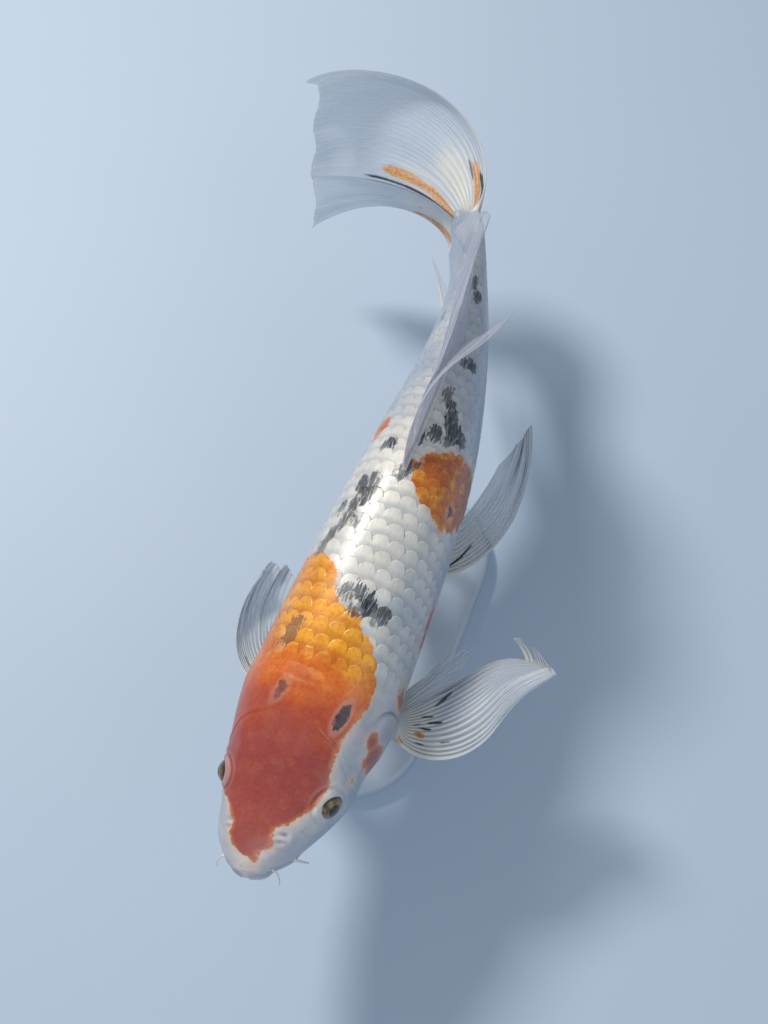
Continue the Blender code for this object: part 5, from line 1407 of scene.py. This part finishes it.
place_fin(make_fin("koi_pectoral_fin_right", PECTORAL_RIGHT, along_body(0.236, -112, 0.275, -134), 17, 84, FIN, 0.0044,
                   side=-1, seed=5, pleat=0.10, wave=0.9, rag=0.016, sharp=0.13,
                   edge=[(0.0, 1.03), (0.10, 1.0), (0.30, 0.98), (0.5, 1.02), (0.62, 0.97), (0.8, 1.01), (1.0, 0.95)],
                   tears=[(0.33, 0.05, 0.012), (0.62, 0.06, 0.010)], creams=[(0.30, 0.0, 0.30, 0.30, 0.35, 0.45)],
                   streaks=[(0.25, 0.20, 0.27, 0.34, 0.014, 0.9), (0.50, 0.16, 0.50, 0.26, 0.013, 0.9)]),
          "pectoral_fin_right")
place_fin(make_fin("koi_pelvic_fin_left", PELVIC_LEFT, along_body(0.485, 148, 0.53, 160), 11, 84, FIN, 0.0040,
                   seed=7, pleat=0.10, wave=0.9, rag=0.014, sharp=0.13,
                   edge=[(0.0, 1.02), (0.15, 0.99), (0.5, 0.97), (0.8, 0.97), (1.0, 0.90)],
                   creams=[(0.4, 0.0, 0.4, 0.22, 0.45, 0.35)],
                   streaks=[(0.22, 0.10, 0.46, 0.30, 0.040, 1.0)]), "pelvic_fin_left")
place_fin(make_fin("koi_pelvic_fin_right", PELVIC_RIGHT, along_body(0.485, -148, 0.53, -160), 9, 80, FIN, 0.0040,
                   side=-1, seed=9, pleat=0.10, wave=0.9, rag=0.014, sharp=0.13,
                   creams=[(0.4, 0.0, 0.4, 0.22, 0.45, 0.35)],
                   streaks=[(0.30, 0.10, 0.34, 0.24, 0.030, 0.9)]), "pelvic_fin_right")
place_fin(make_fin("koi_dorsal_fin", DORSAL_RAYS, along_body(0.515, 0, 0.855, 0), 26, 84, DORSAL, 0.0026,
                   seed=11, pleat=0.07, wave=0.25, rag=0.008, first=1.0, sharp=0.13, spread=0.04, fleshy=0.03, per=10), "dorsal_fin")
place_fin(make_fin("koi_anal_fin", ANAL, along_body(0.765, 180, 0.83, 180), 7, 70, FIN, 0.0042,
                   seed=13, pleat=0.25, wave=0.8, rag=0.008,
                   edge=[(0.0, 1.04), (0.12, 1.0), (0.35, 0.86), (0.7, 0.80), (1.0, 0.80)],
                   creams=[(0.04, 0.10, 0.06, 1.02, 0.14, 0.95)],
                   reds=[(0.16, 0.30, 0.12, 0.92, 0.060, 0.85)]), "anal_fin")
place_fin(make_fin("koi_tail_fin_upper", TAIL_UPPER, along_tail(0.0205, 0.0), 14, 124, TAIL, 0.0052,
                   seed=15, pleat=0.18, wave=1.0, rag=0.005, spread=0.045, sink_in=0.004, fork=(0.20, 0.46), fleshy=0.075,
                   sharp=0.28, still=1.0,
                   edge=[(0.0, 1.005), (0.05, 1.0), (0.12, 0.985), (0.26, 0.982), (0.5, 0.985), (0.75, 0.995), (1.0, 1.02)],
                   streaks=[(0.992, 0.05, 0.970, 0.80, 0.014, 0.95), (0.02, 0.035, 0.25, 0.20, 0.062, 1.0),
                            (0.385, 0.17, 0.370, 0.28, 0.020, 1.0)],
                   reds=[(0.985, 0.02, 0.888, 0.40, 0.060, 1.0), (0.922, 0.20, 0.898, 0.68, 0.052, 0.9),
                         (0.30, 0.04, 0.305, 0.27, 0.110, 1.0), (0.05, 0.0, 0.08, 0.075, 0.09, 1.0)],
                   creams=[(0.62, 0.0, 0.60, 0.42, 0.24, 0.85), (0.92, 0.02, 0.86, 0.60, 0.07, 0.6),
                           (0.03, 0.10, 0.03, 0.60, 0.04, 0.6)]),
          "tail_fin_upper")
place_fin(make_fin("koi_tail_fin_lower", TAIL_LOWER, along_tail(0.0, -0.0205), 13, 100, TAIL, 0.0052,
                   seed=19, pleat=0.18, wave=1.0, rag=0.005, spread=0.055, sink_in=0.004, fork=(0.22, 0.50), fleshy=0.085,
                   sharp=0.28, still=0.0,
                   edge=[(0.0, 1.02), (0.08, 1.0), (0.5, 0.985), (0.85, 1.0), (1.0, 1.02)],
                   streaks=[(0.010, 0.10, 0.016, 0.80, 0.012, 0.9)],
                   reds=[(0.74, 0.02, 0.80, 0.32, 0.15, 1.0), (0.79, 0.24, 0.89, 0.42, 0.11, 0.9),
                         (0.44, 0.33, 0.52, 0.39, 0.06, 0.7), (0.97, 0.02, 0.97, 0.34, 0.05, 0.95)],
                   creams=[(0.45, 0.0, 0.50, 0.55, 0.28, 0.6), (0.90, 0.0, 0.92, 0.40, 0.10, 0.7)]),
          "tail_fin_lower")


# ================================================================ the stand
def make_base():
    radius, straight = BASE_WIDTH / 2, BASE_LENGTH / 2 - BASE_WIDTH / 2
    outline = []
    for end in (1, -1):
        for i in range(65):
            t = radians(-90 + 180 * i / 64)
            outline.append((cos(t) * end, straight * end, sin(t) * end))
    low = [(0.0008, 0.0), (0.0002, 0.0002), (0.0, 0.0008)]
    rounded = [(0.003 * (1 - sin(k)), BASE_THICK - 0.003 * (1 - cos(k))) for k in np.linspace(pi / 2, 0, 9)]
    inner = [(0.010, BASE_THICK), (0.030, BASE_THICK)]
    turn = radians(BASE_TURN)
    rings = []
    for inset, z in low + rounded + inner:
        rings.append([((mid + c * (radius - inset)) * sin(turn) - s * (radius - inset) * cos(turn),
                       (mid + c * (radius - inset)) * cos(turn) + s * (radius - inset) * sin(turn), z)
                      for c, mid, s in outline])
    m, n = len(rings), len(outline)
    points = np.array(rings).reshape(-1, 3)
    index = np.arange(m * n).reshape(m, n)
    nxt = np.roll(index, -1, axis=1)
    quads = np.stack([index[:-1], nxt[:-1], nxt[1:], index[1:]], -1).reshape(-1, 4)
    quads = outward(quads, points, np.array([0, 0, 1.0]))
    half = n // 2
    caps = []
    for row in (0, m - 1):
        ring = index[row]
        for j in range(half - 1):
            caps.append((ring[j], ring[j + 1], ring[n - 2 - j], ring[n - 1 - j]))
    caps = np.array(caps)
    for k, want in ((0, -1.0), (half - 1, 1.0)):
        q = caps[k + 5]
        nn = np.cross(points[q[1]] - points[q[0]], points[q[3]] - points[q[0]])
        if nn[2] * want < 0:
            caps[k:k + half - 1] = caps[k:k + half - 1, ::-1]
    all_quads = np.vstack([quads, caps])
    corner = all_quads.ravel()
    p = points[corner]
    bake = np.stack([0.5 + p[:, 0] / 0.50, 0.25 + p[:, 1] / 0.50], -1)
    face = p.reshape(-1, 4, 3)
    under = np.repeat(face[:, :, 2].max(1) < 0.0009, 4)
    wall = np.repeat((face[:, :, 2].max(1) - face[:, :, 2].min(1)) > 0.0025, 4)
    bake[under, 1] += 0.5
    k = np.repeat(np.arange(len(all_quads)) % n, 4)
    strip = np.stack([0.02 + 0.96 * (k + np.tile([0, 1, 1, 0], len(all_quads))) / n, 0.965 + p[:, 2] * 2.0], -1)
    bake[wall] = strip[wall]
    return build("stand_base_piece", points, all_quads, BASE, {"OFBake": bake})


def make_rod(name, node_name):
    low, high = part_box(node_name)
    x, y = (low[0] + high[0]) / 2, (low[1] + high[1]) / 2
    # a turned rod: a small collar on the base, a plain shaft and a soft rounded head under the belly
    profile = [(0.0, 0.0), (0.0052, 0.0), (0.0056, 0.0004), (0.0056, 0.0022), (0.0052, 0.0028), (0.0036, 0.0032),
               (0.0034, 0.0040)]
    # the skin lies inside the solid belly by the depth of the scales, so the head reaches up to it
    top = high[2] - low[2] + 0.0020
    profile += [(0.0034, z) for z in np.linspace(0.006, top - 0.006, 8)]
    profile += [(0.0036, top - 0.0045), (0.0040, top - 0.0030), (0.0040, top - 0.0008), (0.0036, top - 0.0002), (0.0, top)]
    count = 48
    g = np.linspace(0, 2 * pi, count, endpoint=False)
    rings = [[(x + r * cos(t), y + r * sin(t), low[2] - 0.0003 + z) for t in g] for r, z in profile[1:-1]]
    m = len(rings)
    points = np.vstack([np.array(rings).reshape(-1, 3), [[x, y, low[2] - 0.0003], [x, y, low[2] - 0.0003 + top + 0.0003]]])
    index = np.arange(m * count).reshape(m, count)
    nxt = np.roll(index, -1, axis=1)
    quads = np.stack([index[:-1], nxt[:-1], nxt[1:], index[1:]], -1).reshape(-1, 4)
    tris = np.vstack([np.stack([nxt[0], index[0], np.full(count, m * count)], -1),
                      np.stack([index[-1], nxt[-1], np.full(count, m * count + 1)], -1)])
    corner = np.concatenate([quads.ravel(), tris.ravel()])
    column = np.append(np.tile(np.arange(count), m), [0, 0])
    row = np.append(np.repeat(np.arange(m), count), [0, m - 1])
    bake = np.stack([0.02 + 0.9 * column[corner] / count, 0.05 + 0.8 * row[corner] / m], -1)
    k = len(quads) * 4
    face = bake[:k, 0].reshape(-1, 4)
    over = (face.max(1) - face.min(1)) > 0.5
    bake[:k, 0] = np.where(over[:, None] & (face < 0.2), face + 0.9, face).ravel()
    tri_no = np.arange(len(tris))
    ring_no = tri_no % count
    base_v = np.where(tri_no < count, 0.90, 0.95)
    bake[k:] = np.stack([np.stack([0.02 + 0.9 * ring_no / count, 0.02 + 0.9 * (ring_no + 0.8) / count,
                                   0.02 + 0.9 * (ring_no + 0.4) / count], -1).ravel(),
                         np.stack([base_v, base_v, base_v + 0.03], -1).ravel()], -1)
    return build(name, points, quads, STEEL, {"OFBake": bake}, None, tris)


base_piece = make_base()
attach(base_piece, "root")
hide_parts("stand_base")
for word in ("front", "rear"):
    rod = make_rod(f"stand_rod_{word}_piece", "stand_rod_" + word)
    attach(rod, "root")
    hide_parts("stand_rod_" + word)


# ================================================================ floor, camera and light
def make_floor():
    size, cells = 4.0, 8
    g = np.linspace(-size / 2, size / 2, cells + 1)
    X, Y = np.meshgrid(g, g, indexing="ij")
    points = np.stack([X, Y, np.zeros_like(X)], -1).reshape(-1, 3)
    index = np.arange(len(points)).reshape(cells + 1, cells + 1)
    quads = np.stack([index[:-1, :-1], index[1:, :-1], index[1:, 1:], index[:-1, 1:]], -1).reshape(-1, 4)
    return build("floor", points, quads, floor_material())


make_floor()

LOOK, AWAY, ELEVATION = Vector((0.0, 0.03, 0.125)), 0.70, radians(65.0)
camera = bpy.data.objects.new("camera", bpy.data.cameras.new("camera"))
camera.location = LOOK + Vector((0.0, -AWAY * cos(ELEVATION), AWAY * sin(ELEVATION)))
camera.rotation_euler = (radians(90.0) - ELEVATION, 0.0, 0.0)
camera.data.sensor_width = 36.0
camera.data.lens = 18.0 / tan(radians(22.0))
camera.data.clip_start = 0.01
bpy.context.scene.collection.objects.link(camera)
bpy.context.scene.camera = camera


def lamp(name, place, aim, size, power, colour):
    data = bpy.data.lights.new(name, "AREA")
    data.shape = "DISK"
    data.size = size
    data.energy = power
    data.color = colour
    ob = bpy.data.objects.new(name, data)
    ob.location = place
    ob.rotation_euler = (Vector(aim) - Vector(place)).to_track_quat("-Z", "Y").to_euler()
    bpy.context.scene.collection.objects.link(ob)
    return ob


lamp("key", (-0.75, 0.85, 1.45), (-0.02, 0.02, 0.12), 0.40, 23.0, (1.0, 0.95, 0.87))
lamp("fill", (1.10, -0.70, 1.10), (0.0, 0.0, 0.12), 1.3, 3.6, (0.80, 0.89, 1.0))
lamp("front", (-0.50, -1.30, 0.70), (0.0, -0.1, 0.12), 1.0, 3.4, (0.93, 0.96, 1.0))

world = bpy.data.worlds.new("studio")
world.use_nodes = True
world.node_tree.nodes["Background"].inputs["Color"].default_value = (0.72, 0.80, 0.90, 1.0)
world.node_tree.nodes["Background"].inputs["Strength"].default_value = 0.40
bpy.context.scene.world = world
bpy.context.scene.view_settings.view_transform = "Standard"
